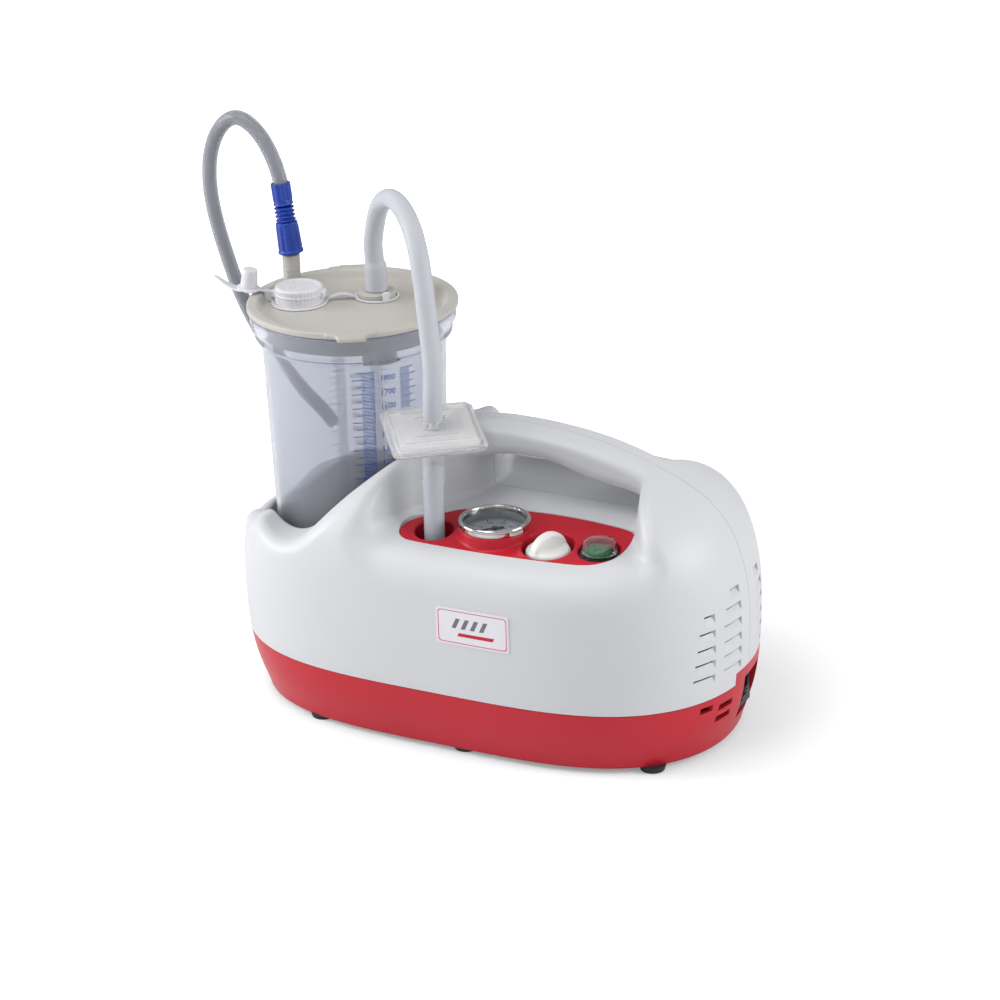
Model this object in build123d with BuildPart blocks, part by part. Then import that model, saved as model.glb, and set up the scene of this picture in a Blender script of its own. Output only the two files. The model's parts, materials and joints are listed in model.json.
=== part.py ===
from build123d import *
import math
import os

os.makedirs("parts", exist_ok=True)

# ------------------------------------------------------------------
# Portable suction pump: +X along the length (control side to the
# right of the jar), front faces -Y, +Z up.  Modelled with the floor at
# z = 0 below the middle of the housing; saved with the origin on the
# underside of the base, 4 mm higher.  Millimetres.
# ------------------------------------------------------------------
UNDERSIDE_Z = 4.0

# covers and base
COVER_WALL = 2.6
BASE_WALL = 3.0
BASE_FLOOR_TOP = 7.0
SPLIT_Z = 47.4                 # base / covers parting height
SPLIT_GAP = 0.2                # half of the parting gap
BASE_TOP = SPLIT_Z - SPLIT_GAP
COVER_BOTTOM = SPLIT_Z + SPLIT_GAP
SEAM_GAP = 0.15                # half of the front / rear parting gap

# housing screws
POSTS = [(137.5, -60.0), (62.0, -84.0), (-62.0, -85.0),
         (137.5, 60.0), (62.0, 84.0), (-62.0, 85.0)]
POST_R = 6.0
SCREW_HOLE_R = 1.75

# collecting jar and its well
JAR_X = -103.45
JAR_XY = (JAR_X, 0)
WELL_R = 65.2
TRAY_Z = 36.0
JAR_BOTTOM = TRAY_Z
JAR_FLANGE_TOP = 264.0

# control floor: z = FLOOR_Z + FLOOR_SLOPE * y, and the rear recess floor
FLOOR_Z = 154.5
FLOOR_SLOPE = 0.15
REAR_FLOOR_Z = 173.0
REAR_FLOOR_SLOPE = -0.2
PANEL_PLANE = Plane(origin=(0, 0, FLOOR_Z), x_dir=(1, 0, 0), z_dir=(0, -FLOOR_SLOPE, 1))

# controls, seen from above
PORT_XY = PORT_X, PORT_Y = (-14.5, -64.0)
GAUGE_XY = GAUGE_X, GAUGE_Y = (25.0, -55.0)
KNOB_XY = KNOB_X, KNOB_Y = (65.5, -60.5)
SWITCH_XY = SWITCH_X, SWITCH_Y = (99.5, -56.0)
PORT_SEAT_Z = 118.0
KNOB_SEAT_Z = 136.0
SWITCH_SEAT_Z = 142.0

# run capacitor, lying along X in a saddle of the base
CAPACITOR_YZ = {"y": -44, "z": 30}
CAPACITOR_R = 14

# mains inlet, behind the middle plane, and the pocket around it
INLET_Y = 12.0
POCKET_Y = 6.5
POCKET_WIDTH = 49
POCKET_Z = 12.5
POCKET_HEIGHT = 43.4
POCKET_GAP = 0.3               # clearance of the covers around the pocket

# motor axis
MOTOR_Y, MOTOR_Z = 22.0, 60.0

CUT = Mode.SUBTRACT
ON_BASE = (Align.CENTER, Align.CENTER, Align.MIN)
FROM_LEFT = (Align.MIN, Align.CENTER, Align.MIN)     # starts at its x, stands on its z
CENTRED = (Align.CENTER, Align.CENTER, Align.CENTER)


# ------------------------------------------------------------------
# helpers
# ------------------------------------------------------------------
def save(part, name):
    placed = part.moved(Location((0, 0, -UNDERSIDE_Z)))
    placed.label = name
    export_step(placed, "parts/" + name + ".step")


def cylinder(radius, z, height, *centers, mode=Mode.ADD):
    """Upright cylinders standing at height z over each (x, y)."""
    with Locations(*[(x, y, z) for x, y in centers]):
        Cylinder(radius, height, align=ON_BASE, mode=mode)


def x_cylinder(x0, x1, radius, y=MOTOR_Y, z=MOTOR_Z, mode=Mode.ADD):
    """Cylinder lying along X, on the motor axis unless told otherwise."""
    with Locations(Location((x0, y, z), (0, 90, 0))):
        Cylinder(radius, x1 - x0, align=ON_BASE, mode=mode)


def block(size, *spots, mode=Mode.ADD, align=ON_BASE):
    """A box of (x, y, z) size at each (x, y, z) spot."""
    with Locations(*spots):
        Box(*size, align=align, mode=mode)


def annulus(outer, inner):
    Circle(outer)
    Circle(inner, mode=CUT)


def direction(angle):
    """Level unit vector at an angle in degrees from +X."""
    return (math.cos(math.radians(angle)), math.sin(math.radians(angle)), 0)


def shift(points, distance):
    """Move the points of an open curve to its right by a distance."""
    moved = []
    for i, (u, v) in enumerate(points):
        j = max(1, min(len(points) - 2, i))
        du = points[j + 1][0] - points[j - 1][0]
        dv = points[j + 1][1] - points[j - 1][1]
        length = math.hypot(du, dv)
        moved.append((u + distance * dv / length, v - distance * du / length))
    return moved


# ------------------------------------------------------------------
# housing form, moved inward by an inset to make the inside of the covers
# ------------------------------------------------------------------
# height, half length, half width
HULL_PROFILE = [
    (4.0, 169.3, 93.1), (12.0, 171.6, 95.6), (25.0, 175.6, 99.8), (47.4, 179.6, 104.2),
    (75.0, 181.0, 106.2), (100.0, 180.6, 106.8), (118.0, 178.2, 106.6), (130.0, 175.2, 105.8),
    (139.0, 172.2, 104.2), (147.0, 168.6, 101.4), (155.0, 163.6, 96.6), (163.0, 156.6, 89.6),
    (171.0, 146.8, 81.0), (179.0, 131.6, 70.6), (186.0, 114.4, 59.6), (192.0, 96.6, 47.6),
    (197.0, 76.6, 34.6), (200.5, 56.0, 22.0), (202.6, 36.0, 11.0)]
HULL_POWER_X, HULL_POWER_Y = 3.58, 2.06      # exponents of the footprint
PROFILE_STEPS = 12                           # subdivisions between two heights


def radius_at(curve, z):
    """Smallest radius of a (z, radius) curve at height z."""
    found = [r0 + (r1 - r0) * (z - z0) / (z1 - z0)
             for (z0, r0), (z1, r1) in zip(curve[:-1], curve[1:])
             if min(z0, z1) <= z <= max(z0, z1) and z1 != z0]
    if found:
        return min(found)
    return curve[0][1] if z < curve[0][0] else curve[-1][1]


def inset_levels(inset):
    dense = []
    for low, high in zip(HULL_PROFILE[:-1], HULL_PROFILE[1:]):
        for i in range(PROFILE_STEPS):
            part = i / PROFILE_STEPS
            dense.append([a + (b - a) * part for a, b in zip(low, high)])
    dense.append(HULL_PROFILE[-1])
    lengths = shift([(level[0], level[1]) for level in dense], inset)
    widths = shift([(level[0], level[2]) for level in dense], inset)
    top = HULL_PROFILE[-1][0] - inset
    heights = [level[0] for level in HULL_PROFILE if level[0] < top - 1.2] + [top]
    return [(z, max(4.0, radius_at(lengths, z)), max(3.0, radius_at(widths, z)))
            for z in heights]


def footprint(half_length, half_width, count=32):
    """Points of the rounded footprint; each radius is found by bisection."""
    points = []
    for i in range(count):
        angle = 2 * math.pi * (i + 0.5) / count
        cos, sin = math.cos(angle), math.sin(angle)
        low, high = 0.0, 400.0
        for _ in range(50):
            r = (low + high) / 2
            if (abs(r * cos) / half_length) ** HULL_POWER_X \
                    + (abs(r * sin) / half_width) ** HULL_POWER_Y < 1:
                low = r
            else:
                high = r
        points.append((low * cos, low * sin))
    return points


def hull(inset):
    with BuildPart() as form:
        for z, half_length, half_width in inset_levels(inset):
            with BuildSketch(Plane.XY.offset(z)):
                with BuildLine():
                    Spline(*footprint(half_length, half_width), periodic=True)
                make_face()
        loft()
    return form.part


# valley of the roof where the jar stands, seen from the front: x, z
VALLEY = [
    (-200.0, 118.0), (-182.0, 121.0), (-168.0, 128.0), (-152.0, 134.6), (-137.0, 133.0),
    (-127.0, 130.2), (-117.0, 129.4), (-107.0, 132.0), (-97.0, 138.4), (-87.0, 148.4),
    (-77.0, 159.2), (-67.0, 168.6), (-57.0, 176.6), (-47.0, 183.8), (-35.0, 191.2),
    (-20.0, 198.4), (-5.0, 204.0), (10.0, 209.0)]


def above_valley(inset):
    points = shift(VALLEY, inset)
    with BuildPart() as space:
        with BuildSketch(Plane.XZ):
            with BuildLine():
                Spline(*points)
                Polyline(points[-1], (points[-1][0], 260), (points[0][0], 260), points[0])
            make_face()
        extrude(amount=130, both=True)
    return space.part


# plan outlines of the control recess: y, x at LEAN_Z, outward lean of the wall
LEFT_EDGE = [
    (-120.0, -56.0, 0.25), (-95.0, -50.5, 0.25), (-78.0, -46.0, 0.25), (-62.0, -39.5, 0.25),
    (-47.0, -31.8, 0.25), (-35.0, -24.0, 0.22), (-25.0, -16.2, 0.17), (-14.0, -7.6, 0.09),
    (-6.0, -2.6, 0.03), (2.0, -0.6, 0.0), (12.0, 0.0, 0.0), (25.0, 0.0, 0.0)]
RIGHT_EDGE = [
    (-120.0, 172.0, 0.18), (-110.0, 166.0, 0.18), (-95.0, 157.5, 0.18), (-81.0, 147.6, 0.18),
    (-70.0, 138.0, 0.18), (-60.0, 129.6, 0.18), (-50.0, 122.0, 0.18), (-40.0, 116.4, 0.16),
    (-28.0, 112.0, 0.13), (-14.0, 109.8, 0.08), (0.0, 109.0, 0.03), (12.0, 109.0, 0.0),
    (25.0, 109.0, 0.0)]
LEAN_Z = 148.0
RECESS_DEPTH_Y = 25.0          # how far each recess reaches past the middle plane


def edge_at(edge, side, z, inset, y_sign):
    """One recess edge at height z; side is -1 left, 1 right, y_sign -1 mirrors it."""
    moved = shift([(x, y) for y, x, _ in edge], side * inset)
    points = [(x + side * lean * (z - LEAN_Z), y * y_sign)
              for (x, y), (_, _, lean) in zip(moved, edge)]
    points[-1] = (points[-1][0], y_sign * (RECESS_DEPTH_Y + inset))
    return points


def recess_prism(inset, y_sign):
    with BuildPart() as prism:
        for z in (110.0, 225.0):
            left = edge_at(LEFT_EDGE, -1, z, inset, y_sign)
            right = edge_at(RIGHT_EDGE, 1, z, inset, y_sign)
            with BuildSketch(Plane.XY.offset(z)):
                with BuildLine():
                    Spline(*left)
                    Line(left[-1], right[-1])
                    Spline(*right[::-1])
                    Line(right[0], left[0])
                make_face()
        loft(ruled=True)
    return prism.part


# underside of the carrying handle, seen from the front: x, z
HANDLE_UNDERSIDE = [
    (-40.0, 158.0), (-25.0, 165.0), (-12.0, 172.4), (-1.4, 177.9), (7.6, 180.9),
    (22.3, 182.7), (37.2, 183.0), (49.0, 181.2), (60.6, 177.4), (72.2, 174.0),
    (86.6, 171.4), (101.0, 169.6), (110.0, 167.0), (124.0, 162.0), (145.0, 154.0)]
HANDLE_HALF_WIDTH = 17.0
HANDLE_ROUNDING = 9.0


def handle_bar(inset):
    points = shift(HANDLE_UNDERSIDE, -inset)
    with BuildPart() as bar:
        with BuildSketch(Plane.XZ):
            with BuildLine():
                Spline(*points)
                Polyline(points[-1], (points[-1][0], 230), (points[0][0], 230), points[0])
            make_face()
        extrude(amount=HANDLE_HALF_WIDTH - inset, both=True)
        low_edges = bar.edges().filter_by(Plane.XZ).filter_by(GeomType.BSPLINE)
        # round only when exactly the two curved lower edges are found
        if len(low_edges) == 2:
            fillet(low_edges, HANDLE_ROUNDING - inset)
    return bar.part


def above_floor(floor_z, slope, inset, y_from, y_to):
    """Solid above the plane z = floor_z + slope * y, lowered by the inset."""
    z = floor_z - inset * math.sqrt(1 + slope * slope)
    with BuildPart() as space:
        with BuildSketch(Plane.YZ):
            with BuildLine():
                Polyline((y_from, z + slope * y_from), (y_to, z + slope * y_to),
                         (y_to, 240), (y_from, 240), close=True)
            make_face()
        extrude(amount=230, both=True)
    return space.part


def recess(inset):
    """Front and rear recesses, leaving the handle bar between them."""
    with BuildPart() as front:
        add(recess_prism(inset, 1))
        add(above_floor(FLOOR_Z, FLOOR_SLOPE, inset, -140.0, RECESS_DEPTH_Y + inset),
            mode=Mode.INTERSECT)
    with BuildPart() as rear:
        add(recess_prism(inset, -1))
        add(above_floor(REAR_FLOOR_Z, REAR_FLOOR_SLOPE, inset, 0.0, 140.0),
            mode=Mode.INTERSECT)
    with BuildPart() as both:
        add(front.part)
        add(rear.part)
        add(handle_bar(inset), mode=CUT)
    return both.part


def housing_form(inset):
    with BuildPart() as form:
        add(hull(inset))
        add(above_valley(inset), mode=CUT)
        cylinder(WELL_R + inset, -10, 300, JAR_XY, mode=CUT)
        add(recess(inset), mode=CUT)
    return form.part


form_outer = housing_form(0.0)
form_inner = housing_form(COVER_WALL)
hull_outer = hull(0.0)

# outline of the control panel in plan, clockwise seen from above: x, y
PANEL_OUTLINE = [
    (-34.9, -74.3), (-37.1, -65.6), (-33.6, -55.4), (-25.7, -47.8), (-16.9, -42.1),
    (-8.4, -35.7), (8.0, -29.6), (24.0, -26.6), (40.0, -25.0), (57.0, -24.2),
    (75.0, -24.6), (93.0, -26.2), (105.7, -28.1), (112.6, -31.2), (115.3, -37.0),
    (115.6, -46.0), (114.6, -56.5), (110.7, -65.9), (102.5, -73.2), (92.1, -76.8),
    (75.7, -78.6), (50.0, -80.4), (25.0, -81.4), (0.0, -81.4), (-18.0, -81.0),
    (-28.5, -79.6)]


def panel_points(grow):
    """Panel outline grown outward, stretched in y onto the sloping panel plane."""
    stretch = math.sqrt(1 + FLOOR_SLOPE ** 2)
    points = []
    for i, (x, y) in enumerate(PANEL_OUTLINE):
        x0, y0 = PANEL_OUTLINE[i - 1]
        x1, y1 = PANEL_OUTLINE[(i + 1) % len(PANEL_OUTLINE)]
        dx, dy = x1 - x0, y1 - y0
        length = math.hypot(dx, dy)
        points.append((x - grow * dy / length, (y + grow * dx / length) * stretch))
    return points


# right end vents in front of the middle: y from, y to, z of the middle
COVER_SLOTS = [
    (-49.5, -41.0, 105.0), (-53.5, -41.0, 94.0), (-55.0, -41.0, 83.0), (-56.5, -41.0, 73.0),
    (-57.5, -41.0, 62.5), (-24.0, -13.0, 115.0), (-30.0, -13.0, 104.0), (-33.0, -13.0, 93.0),
    (-33.0, -13.0, 82.0), (-33.0, -13.0, 72.0), (-33.0, -13.0, 62.0)]
BASE_SLOTS = [(-50.0, -40.0, 40.5), (-34.0, -20.0, 37.5), (-35.0, -20.0, 29.0)]


def cut_vents(slots, height, rear_shift=0.0):
    """Cut the slots and their mirror images behind the middle."""
    for side, y_shift in ((1, 0.0), (-1, rear_shift)):
        for y0, y1, z in slots:
            block((50, y1 - y0, height), (175, side * (y0 + y1) / 2 + y_shift, z),
                  mode=CUT, align=CENTRED)


# ------------------------------------------------------------------
# covers: shell, then panel opening, parting, inlet clearance and vents
# ------------------------------------------------------------------
with BuildPart() as cover_shell:
    add(form_outer)
    add(form_inner, mode=CUT)
    with BuildSketch(PANEL_PLANE.offset(-8)):
        with BuildLine():
            Spline(*panel_points(0.25), periodic=True)
        make_face()
    extrude(amount=16, mode=CUT)
    block((500, 300, COVER_BOTTOM + 20), (0, 0, -20), mode=CUT)
    block((50, POCKET_WIDTH + 2 * POCKET_GAP, POCKET_Z + POCKET_HEIGHT + POCKET_GAP - 40),
          (175, POCKET_Y, 40), mode=CUT)
    cut_vents(COVER_SLOTS, 3.2)

# pads that take the housing screws, trimmed to the inside of the wall;
# at the right end they reach out along X, elsewhere along Y
with BuildPart() as pads:
    for x, y in POSTS:
        at_end = x > 100
        web_center = (x + 12, y) if at_end else (x, y + math.copysign(9, y))
        web_size = (24, 13) if at_end else (13, 18)
        with BuildSketch(Plane.XY.offset(COVER_BOTTOM)):
            with Locations((x, y)):
                Circle(POST_R)
            with Locations(web_center):
                Rectangle(*web_size)
        extrude(amount=6)
    add(hull(1.2), mode=Mode.INTERSECT)
    cylinder(SCREW_HOLE_R, SPLIT_Z, 12, *POSTS, mode=CUT)

for name, y_seam, y_align in (("front_cover", -SEAM_GAP, Align.MAX),
                              ("rear_cover", SEAM_GAP, Align.MIN)):
    with BuildPart() as cover:
        add(cover_shell.part)
        add(pads.part)
        block((600, 300, 400), (0, y_seam, -10), mode=Mode.INTERSECT,
              align=(Align.CENTER, y_align, Align.MIN))
    save(cover.part, name)

# ------------------------------------------------------------------
# base: open tray with posts, jar support ring, capacitor saddle and
# the pocket that holds the power inlet
# ------------------------------------------------------------------
with BuildPart() as base_cavity:
    add(hull(BASE_WALL))
    block((600, 300, BASE_FLOOR_TOP + 1), (0, 0, -1), mode=CUT)

with BuildPart() as inlet_pocket:
    block((25, POCKET_WIDTH, POCKET_HEIGHT), (165.5, POCKET_Y, POCKET_Z), align=FROM_LEFT)
    add(hull(0.8), mode=Mode.INTERSECT)

with BuildPart() as base_shell:
    add(hull_outer)
    # top cuts: only the wall beside the pocket stays above the parting
    block((600, 300, 300), (0, 0, 56.0), mode=CUT)
    block((352, 300, 20), (-26, 0, BASE_TOP), mode=CUT)
    for y in (POCKET_Y - POCKET_WIDTH / 2 - 50, POCKET_Y + POCKET_WIDTH / 2 + 50):
        block((60, 100, 20), (160, y, BASE_TOP), mode=CUT)
    add(base_cavity.part, mode=CUT)
    add(inlet_pocket.part)
    block((30, 32, 32), (168.5, INLET_Y, 16), mode=CUT, align=FROM_LEFT)
    block((20, 25, 23), (160, INLET_Y, 20.5), mode=CUT)
    cylinder(POST_R, 6.0, BASE_TOP - 6.0, *POSTS)
    # jar support ring
    cylinder(56, 6.0, 27.4, JAR_XY)
    cylinder(53, 6.0, 27.4, JAR_XY, mode=CUT)
    cylinder(53, UNDERSIDE_Z, 3.0, JAR_XY)
    # capacitor saddle
    block((16, 34, 22), (104, CAPACITOR_YZ["y"], 6.5))
    x_cylinder(70, 140, CAPACITOR_R + 0.05, **CAPACITOR_YZ, mode=CUT)
    # screw holes with room for the heads
    cylinder(SCREW_HOLE_R, 0.0, 60, *POSTS, mode=CUT)
    cylinder(3.7, 0.0, 14, *POSTS, mode=CUT)
    cut_vents(BASE_SLOTS, 4.4, rear_shift=INLET_Y)
save(base_shell.part, "base_shell")

with BuildPart() as housing_screws:
    cylinder(1.65, 14.0, 38.5, *POSTS)
    cylinder(3.2, 11.0, 3.0, *POSTS)
save(housing_screws.part, "housing_screws")

FEET = [(-97.0, -78.0), (13.0, -82.0), (138.0, -62.0),
        (-97.0, 78.0), (13.0, 82.0), (138.0, 62.0)]
with BuildPart() as rubber_feet:
    with Locations(*[(x, y, 0) for x, y in FEET]):
        Cone(8.0, 9.2, UNDERSIDE_Z, align=ON_BASE)
save(rubber_feet.part, "rubber_feet")

# shallow cup the jar stands in
with BuildPart() as jar_tray:
    cylinder(67.6, TRAY_Z - 2.5, 13.6, JAR_XY)
    cylinder(WELL_R, TRAY_Z, 20, JAR_XY, mode=CUT)
save(jar_tray.part, "jar_tray")

# raised label plate on the front, following the curve of the cover
with BuildPart() as label_plate:
    block((51, 12, 25.5), (32.5, -106, 99.75), align=CENTRED)
    fillet(label_plate.edges().filter_by(Axis.Y), 2.2)
    add(hull(-0.6), mode=Mode.INTERSECT)
    add(hull_outer, mode=CUT)
save(label_plate.part, "label_plate")

# ------------------------------------------------------------------
# control panel
# ------------------------------------------------------------------
PANEL_THICKNESS = 4.4
SOCKET_WALL = 1.8
# centre, inner radius, seat height, radius of the hole in the seat
SOCKETS = [
    (PORT_XY, 12.8, PORT_SEAT_Z, 6.1),
    (KNOB_XY, 17.0, KNOB_SEAT_Z, 4.0),
    (SWITCH_XY, 13.7, SWITCH_SEAT_Z, 10.6)]

with BuildPart() as sockets:
    for center, radius, seat_z, _ in SOCKETS:
        cylinder(radius + SOCKET_WALL, seat_z - 2, 40, center)
    cylinder(23.0, 136, 30, GAUGE_XY)
    split(bisect_by=PANEL_PLANE.offset(-3.2), keep=Keep.BOTTOM)

with BuildPart() as control_panel:
    # full plate, then a wider lip under the cover
    for grow, thickness in ((0.0, PANEL_THICKNESS), (3.2, 1.6)):
        with BuildSketch(PANEL_PLANE.offset(-PANEL_THICKNESS)):
            with BuildLine():
                Spline(*panel_points(grow), periodic=True)
            make_face()
        extrude(amount=thickness)
    add(sockets.part)
    with Locations((GAUGE_X, GAUGE_Y, 140.0)):
        Cone(24.6, 23.4, 10.7, align=ON_BASE)
    cylinder(20.6, 100, 80, GAUGE_XY, mode=CUT)
    for center, radius, seat_z, hole_radius in SOCKETS:
        cylinder(radius, seat_z, 60, center, mode=CUT)
        cylinder(hole_radius, seat_z - 10, 40, center, mode=CUT)
save(control_panel.part, "control_panel")

# ------------------------------------------------------------------
# vacuum gauge
# ------------------------------------------------------------------
GAUGE_STEM_Z = 107
GAUGE_STEM_R = 5.0
NEEDLE_Z = 147.6
NEEDLE_REST = 222.0            # direction of the pointer at no vacuum, degrees

with BuildPart() as gauge_case:
    cylinder(20.4, 127, 24.9, GAUGE_XY)
    cylinder(22.5, 150.75, 1.2, GAUGE_XY)
    cylinder(19.2, 128.5, 40, GAUGE_XY, mode=CUT)
    cylinder(GAUGE_STEM_R, GAUGE_STEM_Z, 20.5, GAUGE_XY)
    cylinder(1.5, 100, 40, GAUGE_XY, mode=CUT)
save(gauge_case.part, "gauge_case")

with BuildPart() as gauge_bezel:
    with BuildSketch(Plane.XZ):
        with BuildLine():
            Polyline((22.65, 150.8), (23.7, 150.8), (23.7, 154.2))
            Spline((23.7, 154.2), (23.0, 155.6), (21.6, 156.2), tangents=((0, 1), (-1, 0)))
            Polyline((21.6, 156.2), (20.4, 155.2), (20.4, 154.5), (22.65, 154.5),
                     (22.65, 150.8))
        make_face()
    revolve(axis=Axis.Z)
save(gauge_bezel.part.moved(Location((GAUGE_X, GAUGE_Y, 0))), "gauge_bezel")

with BuildPart() as gauge_glass:
    cylinder(22.4, 153.1, 1.3, GAUGE_XY)
save(gauge_glass.part, "gauge_glass")

with BuildPart() as gauge_dial:
    cylinder(19.0, 146.2, 0.6, GAUGE_XY)
    cylinder(1.4, 146.2, 0.6, GAUGE_XY, mode=CUT)
save(gauge_dial.part, "gauge_dial")

with BuildPart() as gauge_movement:
    block((14, 9, 12), (GAUGE_X, GAUGE_Y, 131))
    cylinder(16.5, 143, 1.0, GAUGE_XY)
    block((5, 5, 14.5), (GAUGE_X + 8, GAUGE_Y, 129))
    cylinder(0.65, 120, 30, GAUGE_XY, mode=CUT)
save(gauge_movement.part, "gauge_movement")

# curved pressure tube of the gauge
with BuildPart() as bourdon_tube:
    with BuildLine(Plane.XY.offset(136)) as tube_arc:
        CenterArc(GAUGE_XY, 14.5, 40, 250)
    arc_wire = tube_arc.wires()[0]
    with BuildSketch(Plane(origin=arc_wire @ 0, z_dir=arc_wire % 0)):
        Ellipse(2.4, 1.2)
    sweep(path=arc_wire)
save(bourdon_tube.part, "bourdon_tube")

with BuildPart() as gauge_needle:
    cylinder(2.2, NEEDLE_Z, 0.9, GAUGE_XY)
    with BuildSketch(Plane(origin=(GAUGE_X, GAUGE_Y, NEEDLE_Z),
                           x_dir=direction(NEEDLE_REST), z_dir=(0, 0, 1))):
        with BuildLine():
            Polyline((-6, -1.1), (0, -0.9), (15.5, -0.25), (15.5, 0.25), (0, 0.9), (-6, 1.1),
                     close=True)
        make_face()
    extrude(amount=0.5)
    cylinder(0.6, 132, 16, GAUGE_XY)
save(gauge_needle.part, "gauge_needle")

# ------------------------------------------------------------------
# vacuum regulator: knob, stem, needle and brass body
# ------------------------------------------------------------------
KNOB_ANGLE = 68.0              # direction of the knob's grip, degrees
KNOB_R = 15.8
TEE_LINE_Z = 102               # hose from the inlet through the tee to the regulator
PUMP_LINE_Z = 104              # regulator outlet toward the pump
SPIGOT_R = 3.2                 # spigots that take the inner hoses

with BuildPart() as regulator_knob:
    cylinder(KNOB_R, 138.6, 4.6, KNOB_XY)
    with Locations((KNOB_X, KNOB_Y, 143.2)):
        Cone(KNOB_R, 13.6, 2.2, align=ON_BASE)
    with BuildSketch(Plane(origin=(KNOB_X, KNOB_Y, 145.0), x_dir=direction(KNOB_ANGLE),
                           z_dir=direction(KNOB_ANGLE - 90))):
        with BuildLine():
            Polyline((-15.0, 1.2), (-15.0, -2.0), (15.0, -2.0), (15.0, 1.2))
            Spline((15.0, 1.2), (12.4, 7.8), (5.0, 11.2), (-5.0, 11.2), (-12.4, 7.8),
                   (-15.0, 1.2))
        make_face()
    extrude(amount=4.2, both=True)
    cylinder(3.2, 134, 10, KNOB_XY, mode=CUT)
save(regulator_knob.part, "regulator_knob")

with BuildPart() as regulator_stem:
    cylinder(3.0, 115, 28.5, KNOB_XY)
    cylinder(3.19, 139, 4.5, KNOB_XY)
save(regulator_stem.part, "regulator_stem")

with BuildPart() as regulator_body:
    block((24, 24, 30), (KNOB_X, KNOB_Y, 98))
    cylinder(9, 128, 3.5, KNOB_XY)
    with Locations((KNOB_X - 12, GAUGE_Y, TEE_LINE_Z)):
        Cylinder(SPIGOT_R, 6, rotation=(0, -90, 0), align=ON_BASE)
    with Locations((KNOB_X, KNOB_Y + 12, PUMP_LINE_Z)):
        Cylinder(SPIGOT_R, 8, rotation=(-90, 0, 0), align=ON_BASE)
    cylinder(3.05, 112, 40, KNOB_XY, mode=CUT)
    cylinder(1.66, 102, 20, KNOB_XY, mode=CUT)
save(regulator_body.part, "regulator_body")

with BuildPart() as regulator_needle:
    cylinder(1.6, 103.5, 8.0, KNOB_XY)
    with Locations((KNOB_X, KNOB_Y, 102.3)):
        Cone(0.5, 1.6, 1.2, align=ON_BASE)
save(regulator_needle.part, "regulator_needle")

# ------------------------------------------------------------------
# rocker switch under a clear boot
# ------------------------------------------------------------------
PIVOT_Z = 137
PIVOT_R = 1.0
ROCKER_TILT = 6.0

with BuildPart() as switch_body:
    cylinder(10.4, 120, 25, SWITCH_XY)
    cylinder(13.2, SWITCH_SEAT_Z, 1.6, SWITCH_XY)
    cylinder(9.6, 124, 40, SWITCH_XY, mode=CUT)
    with Locations((SWITCH_X, SWITCH_Y, PIVOT_Z)):
        Cylinder(PIVOT_R, 20.0, rotation=(90, 0, 0))
    # terminals
    block((0.8, 6, 9), *[(SWITCH_X + x, SWITCH_Y, 112) for x in (-5, 0, 5)])
save(switch_body.part, "switch_body")

with BuildPart() as switch_rocker:
    cylinder(8.2, 141.0, 6.6, SWITCH_XY)
    block((5, 5, 8), (SWITCH_X, SWITCH_Y, 133.6))
    # dished top
    with BuildSketch(Plane.XZ.offset(-SWITCH_Y)):
        with BuildLine():
            Polyline(*[(SWITCH_X + x, z) for x, z in (
                (-12, 148.4), (-9, 147.8), (0, 146.2), (9, 147.8), (12, 148.4))], close=True)
        make_face()
    extrude(amount=12, both=True, mode=CUT)
    with Locations((SWITCH_X, SWITCH_Y, PIVOT_Z)):
        Cylinder(PIVOT_R + 0.05, 20.0, rotation=(90, 0, 0), mode=CUT)
pivot_axis = Axis((SWITCH_X, SWITCH_Y, PIVOT_Z), (0, 1, 0))
save(switch_rocker.part.rotate(pivot_axis, -ROCKER_TILT), "switch_rocker")

with BuildPart() as switch_boot:
    cylinder(10.5, 145.1, 7.4, SWITCH_XY)
    fillet(switch_boot.faces().sort_by(Axis.Z)[-1].edges(), 1.4)
    cylinder(9.6, 145.0, 6.5, SWITCH_XY, mode=CUT)
save(switch_boot.part, "switch_boot")

# ------------------------------------------------------------------
# suction inlet, and the tee under the gauge
# ------------------------------------------------------------------
TEE_ANGLE = math.degrees(math.atan2(GAUGE_Y - PORT_Y, GAUGE_X - PORT_X))
TEE_DISTANCE = math.hypot(GAUGE_X - PORT_X, GAUGE_Y - PORT_Y)
TO_TEE = Plane(origin=(PORT_X, PORT_Y, TEE_LINE_Z), x_dir=direction(TEE_ANGLE + 90),
               z_dir=direction(TEE_ANGLE))

with BuildPart() as inlet_nipple:
    cylinder(8.0, PORT_SEAT_Z, 2.0, PORT_XY)
    cylinder(4.3, PORT_SEAT_Z + 2.0, 17, PORT_XY)
    cylinder(6.0, 96.0, PORT_SEAT_Z - 96.0, PORT_XY)
    with BuildSketch(TO_TEE):
        Circle(SPIGOT_R)
    extrude(amount=14)
    cylinder(2.4, 100.0, 40, PORT_XY, mode=CUT)
save(inlet_nipple.part, "inlet_nipple")

with BuildPart() as gauge_tee:
    cylinder(8.5, 96, 16.5, GAUGE_XY)
    with BuildSketch(TO_TEE.offset(TEE_DISTANCE)):
        Circle(SPIGOT_R)
    extrude(amount=-15)
    with Locations((GAUGE_X, GAUGE_Y, TEE_LINE_Z)):
        Cylinder(SPIGOT_R, 14, rotation=(0, 90, 0), align=ON_BASE)
    cylinder(GAUGE_STEM_R + 0.03, GAUGE_STEM_Z, 20, GAUGE_XY, mode=CUT)
save(gauge_tee.part, "gauge_tee")

# ------------------------------------------------------------------
# motor along X, on a plate with rubber mounts
# ------------------------------------------------------------------
MOTOR_R = 36
SHAFT_R = 4.0
PLATE_TOP = 14.0
PLATE_THICKNESS = 2.5

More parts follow.
